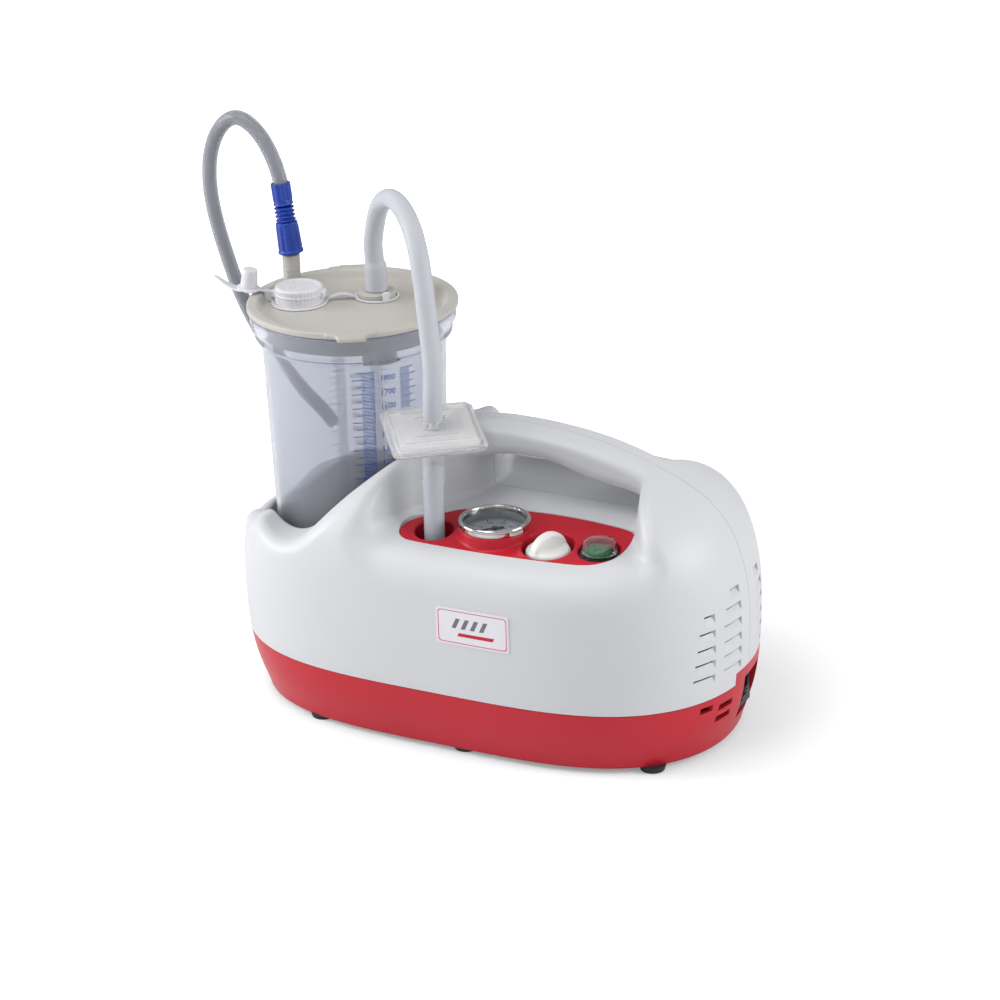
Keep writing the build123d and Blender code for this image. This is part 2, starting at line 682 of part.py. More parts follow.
with BuildPart() as mounting_plate:
    block((135, 76, PLATE_THICKNESS), (60.5, MOTOR_Y, PLATE_TOP - PLATE_THICKNESS))
    fillet(mounting_plate.edges().filter_by(Axis.Z), 5)
    block((10, 50, 20), (74, MOTOR_Y, PLATE_TOP), (116, MOTOR_Y, PLATE_TOP))
    x_cylinder(50, 140, MOTOR_R + 0.05, mode=CUT)
save(mounting_plate.part, "mounting_plate")

with BuildPart() as rubber_mounts:
    cylinder(7.0, BASE_FLOOR_TOP, 4.5,
             *[(x, y) for x in (3, 125) for y in (MOTOR_Y - 30, MOTOR_Y + 30)])
save(rubber_mounts.part, "rubber_mounts")

with BuildPart() as motor_can:
    x_cylinder(62, 128, MOTOR_R)
    x_cylinder(60, 130, 33.6, mode=CUT)
save(motor_can.part, "motor_can")

with BuildPart() as motor_stator:
    x_cylinder(70, 120, 33.5)
    x_cylinder(69, 121, 21.0, mode=CUT)
save(motor_stator.part, "motor_stator")

with BuildPart() as motor_windings:
    x_cylinder(63.5, 69.9, 31)
    x_cylinder(120.1, 126.5, 31)
    x_cylinder(60, 130, 22.5, mode=CUT)
save(motor_windings.part, "motor_windings")

with BuildPart() as motor_end_bells:
    x_cylinder(58.6, 61.9, MOTOR_R)
    x_cylinder(58.6, 68.0, 10)
    x_cylinder(128.1, 131.4, MOTOR_R)
    x_cylinder(122.0, 131.4, 10)
    x_cylinder(50, 140, SHAFT_R + 0.05, mode=CUT)
    for k in range(6):
        angle = math.radians(60 * k + 30)
        x_cylinder(55, 135, 5.0, y=MOTOR_Y + 22 * math.cos(angle),
                   z=MOTOR_Z + 22 * math.sin(angle), mode=CUT)
save(motor_end_bells.part, "motor_end_bells")

with BuildPart() as motor_rotor:
    x_cylinder(70, 120, 20.4)
    x_cylinder(39, 146, SHAFT_R)
save(motor_rotor.part, "motor_rotor")

with BuildPart() as cooling_fan:
    x_cylinder(134, 145, 9)
    for k in range(8):
        cos, sin = math.cos(math.radians(45 * k)), math.sin(math.radians(45 * k))
        with BuildSketch(Plane(origin=(139.5, MOTOR_Y, MOTOR_Z), x_dir=(0, cos, sin),
                               z_dir=(0, -sin, cos))):
            with Locations((19, 0)):
                Rectangle(24, 7.6)
        extrude(amount=0.8, both=True)
    x_cylinder(134.5, 136, 31)
    x_cylinder(130, 150, SHAFT_R + 0.01, mode=CUT)
save(cooling_fan.part, "cooling_fan")

# ------------------------------------------------------------------
# crank, connecting rod and diaphragm pump
# ------------------------------------------------------------------
CRANK_Y = MOTOR_Y + 2.5        # crank pin, offset from the motor axis
CRANK_PIN_R = 5.0
PUMP_X0, PUMP_X1 = 3.0, 57.8
PUMP_X = (PUMP_X0 + PUMP_X1) / 2
PUMP_LENGTH = PUMP_X1 - PUMP_X0
PUMP_WIDTH = 60
PUMP_TOP = 111.0
VALVE_Z = PUMP_TOP + 2.3
HEAD_Z = VALVE_Z + 7.05
HEAD_THICKNESS = 12
HOSE_Z = HEAD_Z + 5            # spigots of the pump head
CORNER_INSET = 5.5
PUMP_CORNERS = [(x, y) for x in (PUMP_X0 + CORNER_INSET, PUMP_X1 - CORNER_INSET)
                for y in (MOTOR_Y - PUMP_WIDTH / 2 + CORNER_INSET,
                          MOTOR_Y + PUMP_WIDTH / 2 - CORNER_INSET)]
OUTLET_YZ = {"y": MOTOR_Y + 13, "z": HOSE_Z}     # axis from pump head to muffler

with BuildPart() as crank_eccentric:
    x_cylinder(40, 49, 12)
    x_cylinder(24.5, 41, CRANK_PIN_R, y=CRANK_Y)
    x_cylinder(40.5, 60, SHAFT_R + 0.01, mode=CUT)
    x_cylinder(39.0, 40.6, SHAFT_R + 0.01, mode=CUT)
save(crank_eccentric.part, "crank_eccentric")

with BuildPart() as connecting_rod:
    x_cylinder(27, 36, 13.0, y=CRANK_Y)
    block((9, 12, 36), (31.5, CRANK_Y, MOTOR_Z + 8))
    cylinder(15, MOTOR_Z + 42, 4.5, (31.5, CRANK_Y))
    x_cylinder(20, 40, CRANK_PIN_R + 0.05, y=CRANK_Y, mode=CUT)
save(connecting_rod.part, "connecting_rod")

with BuildPart() as pump_crankcase:
    block((PUMP_LENGTH, PUMP_WIDTH, PUMP_TOP - PLATE_TOP), (PUMP_X, MOTOR_Y, PLATE_TOP))
    block((PUMP_LENGTH - 9, PUMP_WIDTH - 9, 120), (PUMP_X, MOTOR_Y, 18), mode=CUT)
    x_cylinder(50, 70, 14, mode=CUT)
    block((30, 34, 44), (PUMP_X0, MOTOR_Y, 62), mode=CUT, align=CENTRED)
    cylinder(CORNER_INSET, 100, PUMP_TOP - 100, *PUMP_CORNERS)
    cylinder(1.9, 95, 30, *PUMP_CORNERS, mode=CUT)
save(pump_crankcase.part, "pump_crankcase")

with BuildPart() as pump_diaphragm:
    block((54, 59, 2.2), (PUMP_X, MOTOR_Y, PUMP_TOP + 0.05))
    cylinder(2.1, 100, 30, *PUMP_CORNERS, mode=CUT)
save(pump_diaphragm.part, "pump_diaphragm")

with BuildPart() as valve_plate:
    block((PUMP_LENGTH, PUMP_WIDTH, 7), (PUMP_X, MOTOR_Y, VALVE_Z))
    cylinder(19, VALVE_Z, 3.5, (PUMP_X, MOTOR_Y), mode=CUT)
    cylinder(1.3, VALVE_Z, 10, *[(PUMP_X, MOTOR_Y + y) for y in (-12, -6, 6, 12)], mode=CUT)
    cylinder(2.1, 100, 40, *PUMP_CORNERS, mode=CUT)
save(valve_plate.part, "valve_plate")

with BuildPart() as valve_flaps:
    cylinder(5.5, VALVE_Z + 7.0, 0.8, (PUMP_X, MOTOR_Y + 9))
    cylinder(5.5, VALVE_Z + 2.5, 0.9, (PUMP_X, MOTOR_Y - 9))
save(valve_flaps.part, "valve_flaps")

with BuildPart() as pump_head:
    block((PUMP_LENGTH, PUMP_WIDTH, HEAD_THICKNESS), (PUMP_X, MOTOR_Y, HEAD_Z))
    fillet(pump_head.edges().filter_by(Axis.Z), 4)
    block((30, 22, 8.5), (PUMP_X, MOTOR_Y + 14, HEAD_Z), (PUMP_X, MOTOR_Y - 14, HEAD_Z),
          mode=CUT)
    # front spigot, then the right one
    with Locations(Location((PUMP_X, MOTOR_Y - 29.9, HOSE_Z), (90, 0, 0))):
        Cylinder(SPIGOT_R, 9, align=ON_BASE)
    x_cylinder(PUMP_X1 - 0.1, PUMP_X1 + 8.9, SPIGOT_R, **OUTLET_YZ)
    cylinder(2.1, 100, 60, *PUMP_CORNERS, mode=CUT)
save(pump_head.part, "pump_head")

with BuildPart() as head_screws:
    cylinder(1.8, 101, HEAD_Z + HEAD_THICKNESS + 0.1 - 101, *PUMP_CORNERS)
    cylinder(3.6, HEAD_Z + HEAD_THICKNESS + 0.05, 3, *PUMP_CORNERS)
save(head_screws.part, "head_screws")

# lengths of the same hose: regulator to pump head, inlet to tee,
# tee to regulator, pump head to muffler
INNER_HOSE_R = 5.0
INNER_BORE_R = 3.25
with BuildPart() as inner_tubes:
    with BuildLine() as pump_line:
        regulator_end = Line((KNOB_X, KNOB_Y + 12.2, PUMP_LINE_Z),
                             (KNOB_X, KNOB_Y + 21, PUMP_LINE_Z))
        head_end = Line((PUMP_X, MOTOR_Y - 45, HOSE_Z), (PUMP_X, MOTOR_Y - 30.2, HOSE_Z))
        Spline(regulator_end @ 1, head_end @ 0, tangents=((0, 1, 0), (0, 1, 0)),
               tangent_scalars=(0.9, 0.9))
    with BuildSketch(Plane(origin=regulator_end @ 0, z_dir=(0, 1, 0))):
        annulus(INNER_HOSE_R, 3.3)
    sweep(path=pump_line.wires()[0])
    with BuildSketch(TO_TEE.offset(6.3)):
        annulus(INNER_HOSE_R, INNER_BORE_R)
    extrude(amount=TEE_DISTANCE - 6.3 - 8.8)
    for start, length in (
            ((GAUGE_X + 8.8, GAUGE_Y, TEE_LINE_Z), KNOB_X - 12 - GAUGE_X - 9.0),
            ((PUMP_X1 + 0.2, OUTLET_YZ["y"], HOSE_Z), 21.8)):
        with BuildSketch(Plane(origin=start, z_dir=(1, 0, 0))):
            annulus(INNER_HOSE_R, INNER_BORE_R)
        extrude(amount=length)
save(inner_tubes.part, "inner_tubes")

with BuildPart() as muffler:
    x_cylinder(PUMP_X1 + 23, PUMP_X1 + 68, 11, **OUTLET_YZ)
    x_cylinder(PUMP_X1 + 13, PUMP_X1 + 24, SPIGOT_R, **OUTLET_YZ)
    x_cylinder(PUMP_X1 + 67, PUMP_X1 + 74, 5, **OUTLET_YZ)
    x_cylinder(PUMP_X1 + 10, PUMP_X1 + 80, 1.8, **OUTLET_YZ, mode=CUT)
save(muffler.part, "muffler")

with BuildPart() as run_capacitor:
    x_cylinder(80, 128, CAPACITOR_R, **CAPACITOR_YZ)
    x_cylinder(78, 80.5, 5, **CAPACITOR_YZ)
save(run_capacitor.part, "run_capacitor")

# ------------------------------------------------------------------
# mains inlet with a fuse drawer
# ------------------------------------------------------------------
with BuildPart() as power_inlet:
    block((2.4, 30, 30), (168.6, INLET_Y, 17), align=FROM_LEFT)
    block((21, 24.6, 22.6), (148, INLET_Y, 20.7), align=FROM_LEFT)
    # socket, with the drawer opening below it
    block((30, 21, 13.4), (154, INLET_Y, 28.0), mode=CUT, align=FROM_LEFT)
    block((30, 19, 4.6), (154, INLET_Y, 21.9), mode=CUT, align=FROM_LEFT)
save(power_inlet.part, "power_inlet")

with BuildPart() as inlet_pins:
    block((13, 2, 4), (154, INLET_Y - 7, 32), (154, INLET_Y, 36), (154, INLET_Y + 7, 32),
          align=FROM_LEFT)
save(inlet_pins.part, "inlet_pins")

with BuildPart() as fuse_drawer:
    block((16.6, 18.8, 4.4), (155, INLET_Y, 22.0), align=FROM_LEFT)
    block((1.4, 8, 3.2), (171.6, INLET_Y, 22.6), align=FROM_LEFT)
save(fuse_drawer.part, "fuse_drawer")

# ------------------------------------------------------------------
# collecting jar
# ------------------------------------------------------------------
# half section: radius, z; outside upward, then inside downward
JAR_SECTION = [
    (0, 39.5), (0, 37.2), (30, 36.6), (34, JAR_BOTTOM), (53, JAR_BOTTOM), (55.6, 37.4),
    (56.4, 41), (58.8, 147), (61.4, 236), (62.2, 247.5), (68.8, 250.5), (69.0, 252),
    (69.0, JAR_FLANGE_TOP), (60.0, JAR_FLANGE_TOP), (59.8, 247), (59.0, 236), (56.5, 147),
    (54.1, 42.5), (52.6, 39.5), (0, 39.5)]
with BuildPart() as jar_body:
    with BuildSketch(Plane.XZ):
        with BuildLine():
            Polyline(*JAR_SECTION)
        make_face()
    revolve(axis=Axis.Z)
save(jar_body.part.moved(Location((JAR_X, 0, 0))), "jar_body")

GASKET_THICKNESS = 0.4
with BuildPart() as lid_gasket:
    cylinder(69.6, JAR_FLANGE_TOP, GASKET_THICKNESS, JAR_XY)
    cylinder(60.2, JAR_FLANGE_TOP, GASKET_THICKNESS, JAR_XY, mode=CUT)
save(lid_gasket.part, "lid_gasket")

# ------------------------------------------------------------------
# jar lid and its fittings
# ------------------------------------------------------------------
LID_R = 70.6
LID_TOP = 272.0
LID_BOTTOM = JAR_FLANGE_TOP + GASKET_THICKNESS
LID_FLOOR = 266.0              # floor of the sunk middle
PLUG_Z = 253.0
FITTING_Z = LID_FLOOR - 1      # fittings start inside the lid
CAP_XY = CAP_X, CAP_Y = (-141.3, -5.0)
SUCTION_XY = SUCTION_X, SUCTION_Y = (-98.6, 25.5)
SPIGOT_XY = SPIGOT_X, SPIGOT_Y = (-158.3, 16.0)

with BuildPart() as jar_lid:
    cylinder(LID_R, LID_BOTTOM, LID_TOP - LID_BOTTOM, JAR_XY)
    fillet(jar_lid.faces().sort_by(Axis.Z)[-1].edges(), 2.4)
    cylinder(62.6, LID_FLOOR, 20, JAR_XY, mode=CUT)
    # plug ring below
    cylinder(59.2, PLUG_Z, LID_BOTTOM - PLUG_Z, JAR_XY)
    cylinder(57.2, PLUG_Z, LID_BOTTOM - PLUG_Z, JAR_XY, mode=CUT)
    # pull tabs, front right and rear left
    for angle in (-62.0, 118.0):
        with Locations(Location((JAR_X, 0, 0), (0, 0, angle))):
            with Locations((70.0, 0, LID_TOP - 2.6)):
                Box(14, 20, 2.6, align=ON_BASE)
    # neck under the big cap, suction boss and the patient spigot
    cylinder(14.0, FITTING_Z, 6.5, CAP_XY)
    cylinder(12.7, FITTING_Z, 5.6, SUCTION_XY)
    cylinder(4.4, FITTING_Z, 17, SUCTION_XY)
    cylinder(6.0, FITTING_Z, 27.2, SPIGOT_XY)
    cylinder(3.4, FITTING_Z, 35, SPIGOT_XY)
    cylinder(4.6, 246, 19.5, (SPIGOT_X + 3.2, SPIGOT_Y))
    # bores
    cylinder(12.0, 240, 60, CAP_XY, mode=CUT)
    cylinder(2.8, 240, 60, SUCTION_XY, mode=CUT)
    cylinder(1.9, 240, 70, (SPIGOT_X + 1, SPIGOT_Y), mode=CUT)
save(jar_lid.part, "jar_lid")

with BuildPart() as lid_cap:
    cylinder(16.4, LID_FLOOR + 0.1, 12.4, CAP_XY)
    fillet(lid_cap.faces().sort_by(Axis.Z)[-1].edges(), 1.6)
    cylinder(14.08, LID_FLOOR, 10.6, CAP_XY, mode=CUT)
save(lid_cap.part, "lid_cap")

# soft strap that keeps the cap with the lid and carries a stopper over the rim
STOPPER_X, STOPPER_Y = -175.0, -14.0
STRAP_Z = LID_FLOOR + 0.1
STRAP_THICKNESS = 1.1
BAND_ANGLE = math.degrees(math.atan2(SUCTION_Y - CAP_Y, SUCTION_X - CAP_X))
BAND_LENGTH = math.hypot(SUCTION_X - CAP_X, SUCTION_Y - CAP_Y)
TETHER_WIDTH = 3.4
TETHER_ANGLE = math.degrees(math.atan2(STOPPER_Y + 8.6, STOPPER_X + 159.6))

with BuildPart() as cap_strap:
    # rings round the cap and the suction boss, joined by a band
    with BuildSketch(Plane.XY.offset(STRAP_Z)):
        with Locations(CAP_XY):
            Circle(18.8)
        with Locations(SUCTION_XY):
            Circle(15.0)
        with Locations(Location(((CAP_X + SUCTION_X) / 2, (CAP_Y + SUCTION_Y) / 2, 0),
                                (0, 0, BAND_ANGLE))):
            Rectangle(BAND_LENGTH - 28, 4)
        with Locations(CAP_XY):
            Circle(16.55, mode=CUT)
        with Locations(SUCTION_XY):
            Circle(13.2, mode=CUT)
    extrude(amount=STRAP_THICKNESS)
    # riser from the cap ring up to the rim
    with BuildSketch(Plane.XY.offset(STRAP_Z)):
        with Locations(Location((-160.3, -9.4, 0), (0, 0, TETHER_ANGLE))):
            Rectangle(4.6, TETHER_WIDTH)
    extrude(amount=7.1)
    # tether over the rim with the stopper's disc
    with BuildSketch(Plane.XY.offset(LID_TOP + 0.1)):
        with Locations(Location(((STOPPER_X - 160.0) / 2, (STOPPER_Y - 8.9) / 2, 0),
                                (0, 0, TETHER_ANGLE))):
            Rectangle(17, TETHER_WIDTH)
        with Locations((STOPPER_X, STOPPER_Y)):
            Circle(7.0)
    extrude(amount=STRAP_THICKNESS)
    # stopper and its tilted tongue
    with Locations(Location((STOPPER_X, STOPPER_Y, 273.9), (0, 9, 0))):
        Cone(5.9, 5.2, 14.4, align=ON_BASE)
    with Locations(Location((STOPPER_X - 15.5, STOPPER_Y, 276.9), (0, 21.5, 0))):
        Box(20.5, 4.0, 1.2)
save(cap_strap.part, "cap_strap")

# overflow float under the suction port
GUIDE_R = 1.5
with BuildPart() as float_cage:
    cylinder(12.0, 222, 42.3, SUCTION_XY)
    cylinder(10.2, 225, 45, SUCTION_XY, mode=CUT)
    for size in ((40, 8, 26), (8, 40, 26)):
        block(size, (SUCTION_X, SUCTION_Y, 246), mode=CUT, align=CENTRED)
    cylinder(GUIDE_R, 222, 38, SUCTION_XY)
save(float_cage.part, "float_cage")

with BuildPart() as overflow_float:
    cylinder(9.4, 225.1, 20, SUCTION_XY)
    fillet(overflow_float.edges().filter_by(GeomType.CIRCLE), 2.0)
    cylinder(GUIDE_R + 0.05, 220, 40, SUCTION_XY, mode=CUT)
save(overflow_float.part, "overflow_float")

# ------------------------------------------------------------------
# filter between jar and pump
# ------------------------------------------------------------------
FILTER_NORMAL = Vector(0.0733, -0.0973, 0.99255)
FILTER_PLANE = Plane(origin=(-15.5, -59.0, 212.0), x_dir=(0.79864, 0.60182, 0),
                     z_dir=FILTER_NORMAL)
# layers: start along the normal, size, corner radius, thickness, mode;
# the size is the side of a square, or a circle's radius where the corner is None
FILTER_PIECES = {
    "filter_lower": [
        (-1.6, 61.5, 4, 1.5, Mode.ADD), (-5.0, 56, 4, 3.5, Mode.ADD),
        (-18.0, 4.4, None, 14, Mode.ADD), (-9.0, 8.0, None, 5, Mode.ADD),
        (-3.6, 53, 3, 4, CUT), (-20.0, 2.6, None, 20, CUT)],
    "filter_upper": [
        (0.1, 61.5, 4, 1.5, Mode.ADD), (1.5, 56, 4, 3.5, Mode.ADD),
        (4.5, 8.0, None, 4, Mode.ADD), (4.5, 4.4, None, 13.5, Mode.ADD),
        (0.0, 53, 3, 3.6, CUT), (1.0, 2.6, None, 20, CUT)],
    "filter_membrane": [(-0.6, 52, 3, 1.1, Mode.ADD)]}

for name, layers in FILTER_PIECES.items():
    with BuildPart() as filter_piece:
        for start, size, corner, thickness, mode in layers:
            with BuildSketch(FILTER_PLANE.offset(start)):
                if corner is None:
                    Circle(size)
                else:
                    RectangleRounded(size, size, corner)
            extrude(amount=thickness, mode=mode)
    save(filter_piece.part, name)


# ------------------------------------------------------------------
# hoses to the filter
# ------------------------------------------------------------------
HOSE_BORE_R = 4.62


def hose(points, tangents, outer_radius):
    with BuildPart() as swept:
        with BuildLine() as path:
            Spline(*points, tangents=tangents)
        wire = path.wires()[0]
        start = Plane(origin=wire @ 0, z_dir=wire % 0)
        with BuildSketch(start):
            Circle(outer_radius)
        sweep(path=wire)
        with BuildSketch(start):
            Circle(HOSE_BORE_R)
        sweep(path=wire, mode=CUT)
    return swept.part


def on_axis(plane, distance):
    return plane.offset(distance).origin


# filter up, over and down to the lid
SUCTION_PATH = [
    on_axis(FILTER_PLANE, 8.8), on_axis(FILTER_PLANE, 19.0), (-13.0, -61.3, 254.0),
    (-17.0, -57.2, 280.0), (-21.4, -52.8, 302.5), (-27.2, -47.2, 324.0), (-36.5, -38.0, 339.0),
    (-52.0, -22.6, 347.4), (-69.5, -5.4, 346.4), (-86.0, 11.0, 334.0), (-95.0, 20.0, 317.0),
    (-99.2, 24.2, 301.0), (SUCTION_X, SUCTION_Y, 284.0), (SUCTION_X, SUCTION_Y, 271.0)]
save(hose(SUCTION_PATH, (FILTER_NORMAL, (0, 0, -1)), 6.4), "suction_hose")

# filter down to the suction inlet
PORT_PATH = [
    on_axis(FILTER_PLANE, -9.4), on_axis(FILTER_PLANE, -19.0), (-16.6, -59.2, 172.0),
    (-15.2, -62.4, 152.0), (PORT_X, PORT_Y, 137.6), (PORT_X, PORT_Y, 120.2)]
save(hose(PORT_PATH, (FILTER_NORMAL * -1, (0, 0, -1)), 6.8), "port_hose")

# ------------------------------------------------------------------
# patient connector: flared barrel, ringed waist and ribbed socket,
# leaning slightly to the left
# ------------------------------------------------------------------
CONNECTOR_DIR = Vector(-5.9, 0, 51.0).normalized()
CONNECTOR_PLANE = Plane(origin=(SPIGOT_X + 0.3, SPIGOT_Y, 293.2),
                        x_dir=(CONNECTOR_DIR.Z, 0, -CONNECTOR_DIR.X), z_dir=CONNECTOR_DIR)
TUBE_R, TUBE_BORE_R = 5.0, 3.3

with BuildPart() as patient_connector:
    with BuildSketch(CONNECTOR_PLANE):
        Circle(8.3)
    with BuildSketch(CONNECTOR_PLANE.offset(21.5)):
        Circle(7.4)
    loft()
    with BuildSketch(CONNECTOR_PLANE.offset(21)):
        Circle(5.9)
    extrude(amount=14)
    for k in range(5):
        with BuildSketch(CONNECTOR_PLANE.offset(22.6 + 2.3 * k)):
            Circle(6.8)
        extrude(amount=1.2)
    with BuildSketch(CONNECTOR_PLANE.offset(34)):
        Circle(6.3)
        with PolarLocations(6.2, 8):
            Rectangle(1.2, 1.4)
    extrude(amount=14.5)
    # bore, then the socket for the tube
    with BuildSketch(CONNECTOR_PLANE.offset(-1)):
        Circle(4.3)
    extrude(amount=36, mode=CUT)
    with BuildSketch(CONNECTOR_PLANE.offset(32)):
        Circle(TUBE_R + 0.15)
    extrude(amount=30, mode=CUT)
save(patient_connector.part, "patient_connector")

# ------------------------------------------------------------------
# patient tube: a loop swept in five lengths that share their tangents,
# then a straight free end
# ------------------------------------------------------------------
TUBE_LENGTHS = 5
TAIL = (-168.0, 61.0, 164.0)
TAIL_DIR = (0.3, 0.5, -0.8)
TUBE_PATH = [
    on_axis(CONNECTOR_PLANE, 33.6), on_axis(CONNECTOR_PLANE, 43.0),
    on_axis(CONNECTOR_PLANE, 52.0), (-171.5, 17.0, 363.0), (-183.0, 18.5, 376.5),
    (-198.0, 20.0, 381.8), (-214.5, 22.0, 368.5), (-222.8, 23.0, 342.0),
    (-220.8, 23.6, 310.0), (-212.5, 24.6, 277.0), (-204.4, 26.0, 252.0),
    (-190.0, 33.5, 216.0), (-175.5, 50.0, 180.0), TAIL]
with BuildLine() as tube_line:
    Spline(*TUBE_PATH, tangents=(CONNECTOR_DIR, TAIL_DIR))
tube_wire = tube_line.wires()[0]


def tube_length(start, end):
    """Tube between two positions, 0 to 1, along the whole loop."""
    steps = [start + (end - start) * i / 5 for i in range(6)]
    with BuildPart() as length:
        with BuildLine() as path:
            Spline(*[tube_wire @ step for step in steps],
                   tangents=(tube_wire % start, tube_wire % end))
        wire = path.wires()[0]
        with BuildSketch(Plane(origin=wire @ 0, z_dir=wire % 0)):
            annulus(TUBE_R, TUBE_BORE_R)
        sweep(path=wire)
    return length.part


tube_lengths = [tube_length(i / TUBE_LENGTHS, (i + 1) / TUBE_LENGTHS)
                for i in range(TUBE_LENGTHS)]
with BuildPart() as patient_tube:
    for piece in tube_lengths:
        add(piece)
    with BuildSketch(Plane(origin=TAIL, z_dir=Vector(*TAIL_DIR).normalized())):
        annulus(TUBE_R, TUBE_BORE_R)
    extrude(amount=16.0)
save(patient_tube.part, "patient_tube")
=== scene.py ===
# Portable suction unit: a two-part housing with a carrying handle, a collecting jar in its left
# end, a sloping red control panel, a square filter and three hoses.
# The front faces -Y, the jar stands at the -X end and the vents are in the +X end.
# Everything here is modelled in millimetres with z = 0 on the floor under the feet.
# The scene is in metres, with its origin on the underside of the base.
import json
import math

import bmesh
import bpy
import numpy as np
from mathutils import Matrix, Vector


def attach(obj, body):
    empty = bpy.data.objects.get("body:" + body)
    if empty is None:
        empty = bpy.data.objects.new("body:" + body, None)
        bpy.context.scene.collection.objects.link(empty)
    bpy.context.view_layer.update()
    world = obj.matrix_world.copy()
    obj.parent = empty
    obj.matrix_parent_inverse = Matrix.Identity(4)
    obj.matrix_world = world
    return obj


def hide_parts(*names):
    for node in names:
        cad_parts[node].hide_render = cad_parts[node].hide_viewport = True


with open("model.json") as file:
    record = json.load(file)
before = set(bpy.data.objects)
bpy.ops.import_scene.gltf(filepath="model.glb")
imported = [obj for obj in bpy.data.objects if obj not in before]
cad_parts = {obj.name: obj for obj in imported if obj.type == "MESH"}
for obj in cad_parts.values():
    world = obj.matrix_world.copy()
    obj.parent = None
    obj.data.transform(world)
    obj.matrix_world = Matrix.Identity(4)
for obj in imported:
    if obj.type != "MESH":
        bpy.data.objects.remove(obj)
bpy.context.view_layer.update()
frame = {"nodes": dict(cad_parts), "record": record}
COLLECTION = bpy.context.scene.collection
BODY = {node: body for body, nodes in frame["record"]["behaviour"]["bodies"].items()
        for node in nodes}

# ---------------------------------------------------------------------------
# driving places
# ---------------------------------------------------------------------------
FEET = 4.0                      # height of the feet under the base
DOWN = (0, 0, -1)

JAR_X = -103.45
JAR = (JAR_X, 0.0)
JAR_WELL_RADIUS = 65.2

PANEL_Z, PANEL_SLOPE = 154.5, 0.15      # panel surface: height at y = 0, rise per mm of y
PORT = (-14.5, -64.0)
GAUGE = (25.0, -55.0)
KNOB = (65.5, -60.5)
SWITCH = (99.5, -56.0)

CAP = (-141.3, -5.0)
SUCTION = (-98.6, 25.5)         # suction boss on the lid
SPIGOT = (-158.3, 16.0)         # patient spigot on the lid
STOPPER = (-175.0, -14.0)

FILTER = np.array([-15.5, -59.0, 212.0])
FILTER_AXIS = np.array([0.0733, -0.0973, 0.99255])
FILTER_AXIS /= np.linalg.norm(FILTER_AXIS)
FILTER_SIDE = (0.79864, 0.60182, 0.0)


def metres(x, y, z):
    """Scene place of a point, or of whole columns of points."""
    return x / 1000.0, y / 1000.0, (z - FEET) / 1000.0


# ---------------------------------------------------------------------------
# curves
# ---------------------------------------------------------------------------
def hermite(stations, values, slopes, wanted):
    """Cubic through rows of values with given slopes."""
    k = np.clip(np.searchsorted(stations, wanted, side="right") - 1, 0, len(stations) - 2)
    h = (stations[k + 1] - stations[k])[:, None]
    t = (wanted - stations[k])[:, None] / h
    return ((2 * t**3 - 3 * t**2 + 1) * values[k] + (t**3 - 2 * t**2 + t) * h * slopes[k]
            + (-2 * t**3 + 3 * t**2) * values[k + 1] + (t**3 - t**2) * h * slopes[k + 1])


class Curve:
    """Evenly sampled curve with its slope."""

    def __init__(self, stations, values):
        self.stations, self.values = stations, values
        self.slopes = np.gradient(values, stations)

    def __call__(self, s):
        return np.interp(s, self.stations, self.values)

    def slope(self, s):
        return np.interp(s, self.stations, self.slopes)


def smooth_curves(table, step):
    """One smooth Curve per value column; the first column holds the stations."""
    stations, values = table[:, 0], table[:, 1:]
    h = np.diff(stations)
    chords = np.diff(values, axis=0) / h[:, None]
    slopes = np.zeros_like(values)
    slopes[0], slopes[-1] = chords[0], chords[-1]
    for i in range(1, len(stations) - 1):
        w1, w2 = 2 * h[i] + h[i - 1], h[i] + 2 * h[i - 1]
        for c in range(values.shape[1]):
            before, after = chords[i - 1, c], chords[i, c]
            if before * after > 0:
                slopes[i, c] = (w1 + w2) / (w1 / before + w2 / after)
    even = np.arange(stations[0], stations[-1] + step * 0.5, step)
    # a light blur over straight extensions, so the slope has no steps
    blur = np.array([1, 2, 3, 4, 5, 4, 3, 2, 1], float)
    blur /= blur.sum()
    curves = []
    for v in hermite(stations, values, slopes, even).T:
        before = v[0] - (v[1] - v[0]) * np.arange(4, 0, -1)
        after = v[-1] + (v[-1] - v[-2]) * np.arange(1, 5)
        curves.append(Curve(even, np.convolve(np.concatenate([before, v, after]), blur,
                                              mode="valid")))
    return curves


def spline_points(points, start, end, count):
    """Evenly spaced points on a smooth spline with given end directions."""
    P = np.array(points, float)
    s = np.concatenate([[0], np.cumsum(np.linalg.norm(np.diff(P, axis=0), axis=1) ** 0.5)])
    T = np.zeros_like(P)
    start, end = np.array(start, float), np.array(end, float)
    T[0] = start / np.linalg.norm(start) * np.linalg.norm(P[1] - P[0]) / (s[1] - s[0])
    T[-1] = end / np.linalg.norm(end) * np.linalg.norm(P[-1] - P[-2]) / (s[-1] - s[-2])
    # repeated sweeps settle the inner slopes to an even curvature
    for _ in range(30):
        for i in range(1, len(P) - 1):
            h0, h1 = s[i] - s[i - 1], s[i + 1] - s[i]
            pull = 3 * ((P[i] - P[i - 1]) / (h0 * h0) + (P[i + 1] - P[i]) / (h1 * h1))
            T[i] = (pull - T[i - 1] / h0 - T[i + 1] / h1) / (2 / h0 + 2 / h1)
    C = hermite(s, P, T, np.linspace(0, s[-1], count))
    length = np.concatenate([[0], np.cumsum(np.linalg.norm(np.diff(C, axis=0), axis=1))])
    even = np.linspace(0, length[-1], count)
    return np.stack([np.interp(even, length, C[:, c]) for c in range(3)], 1)


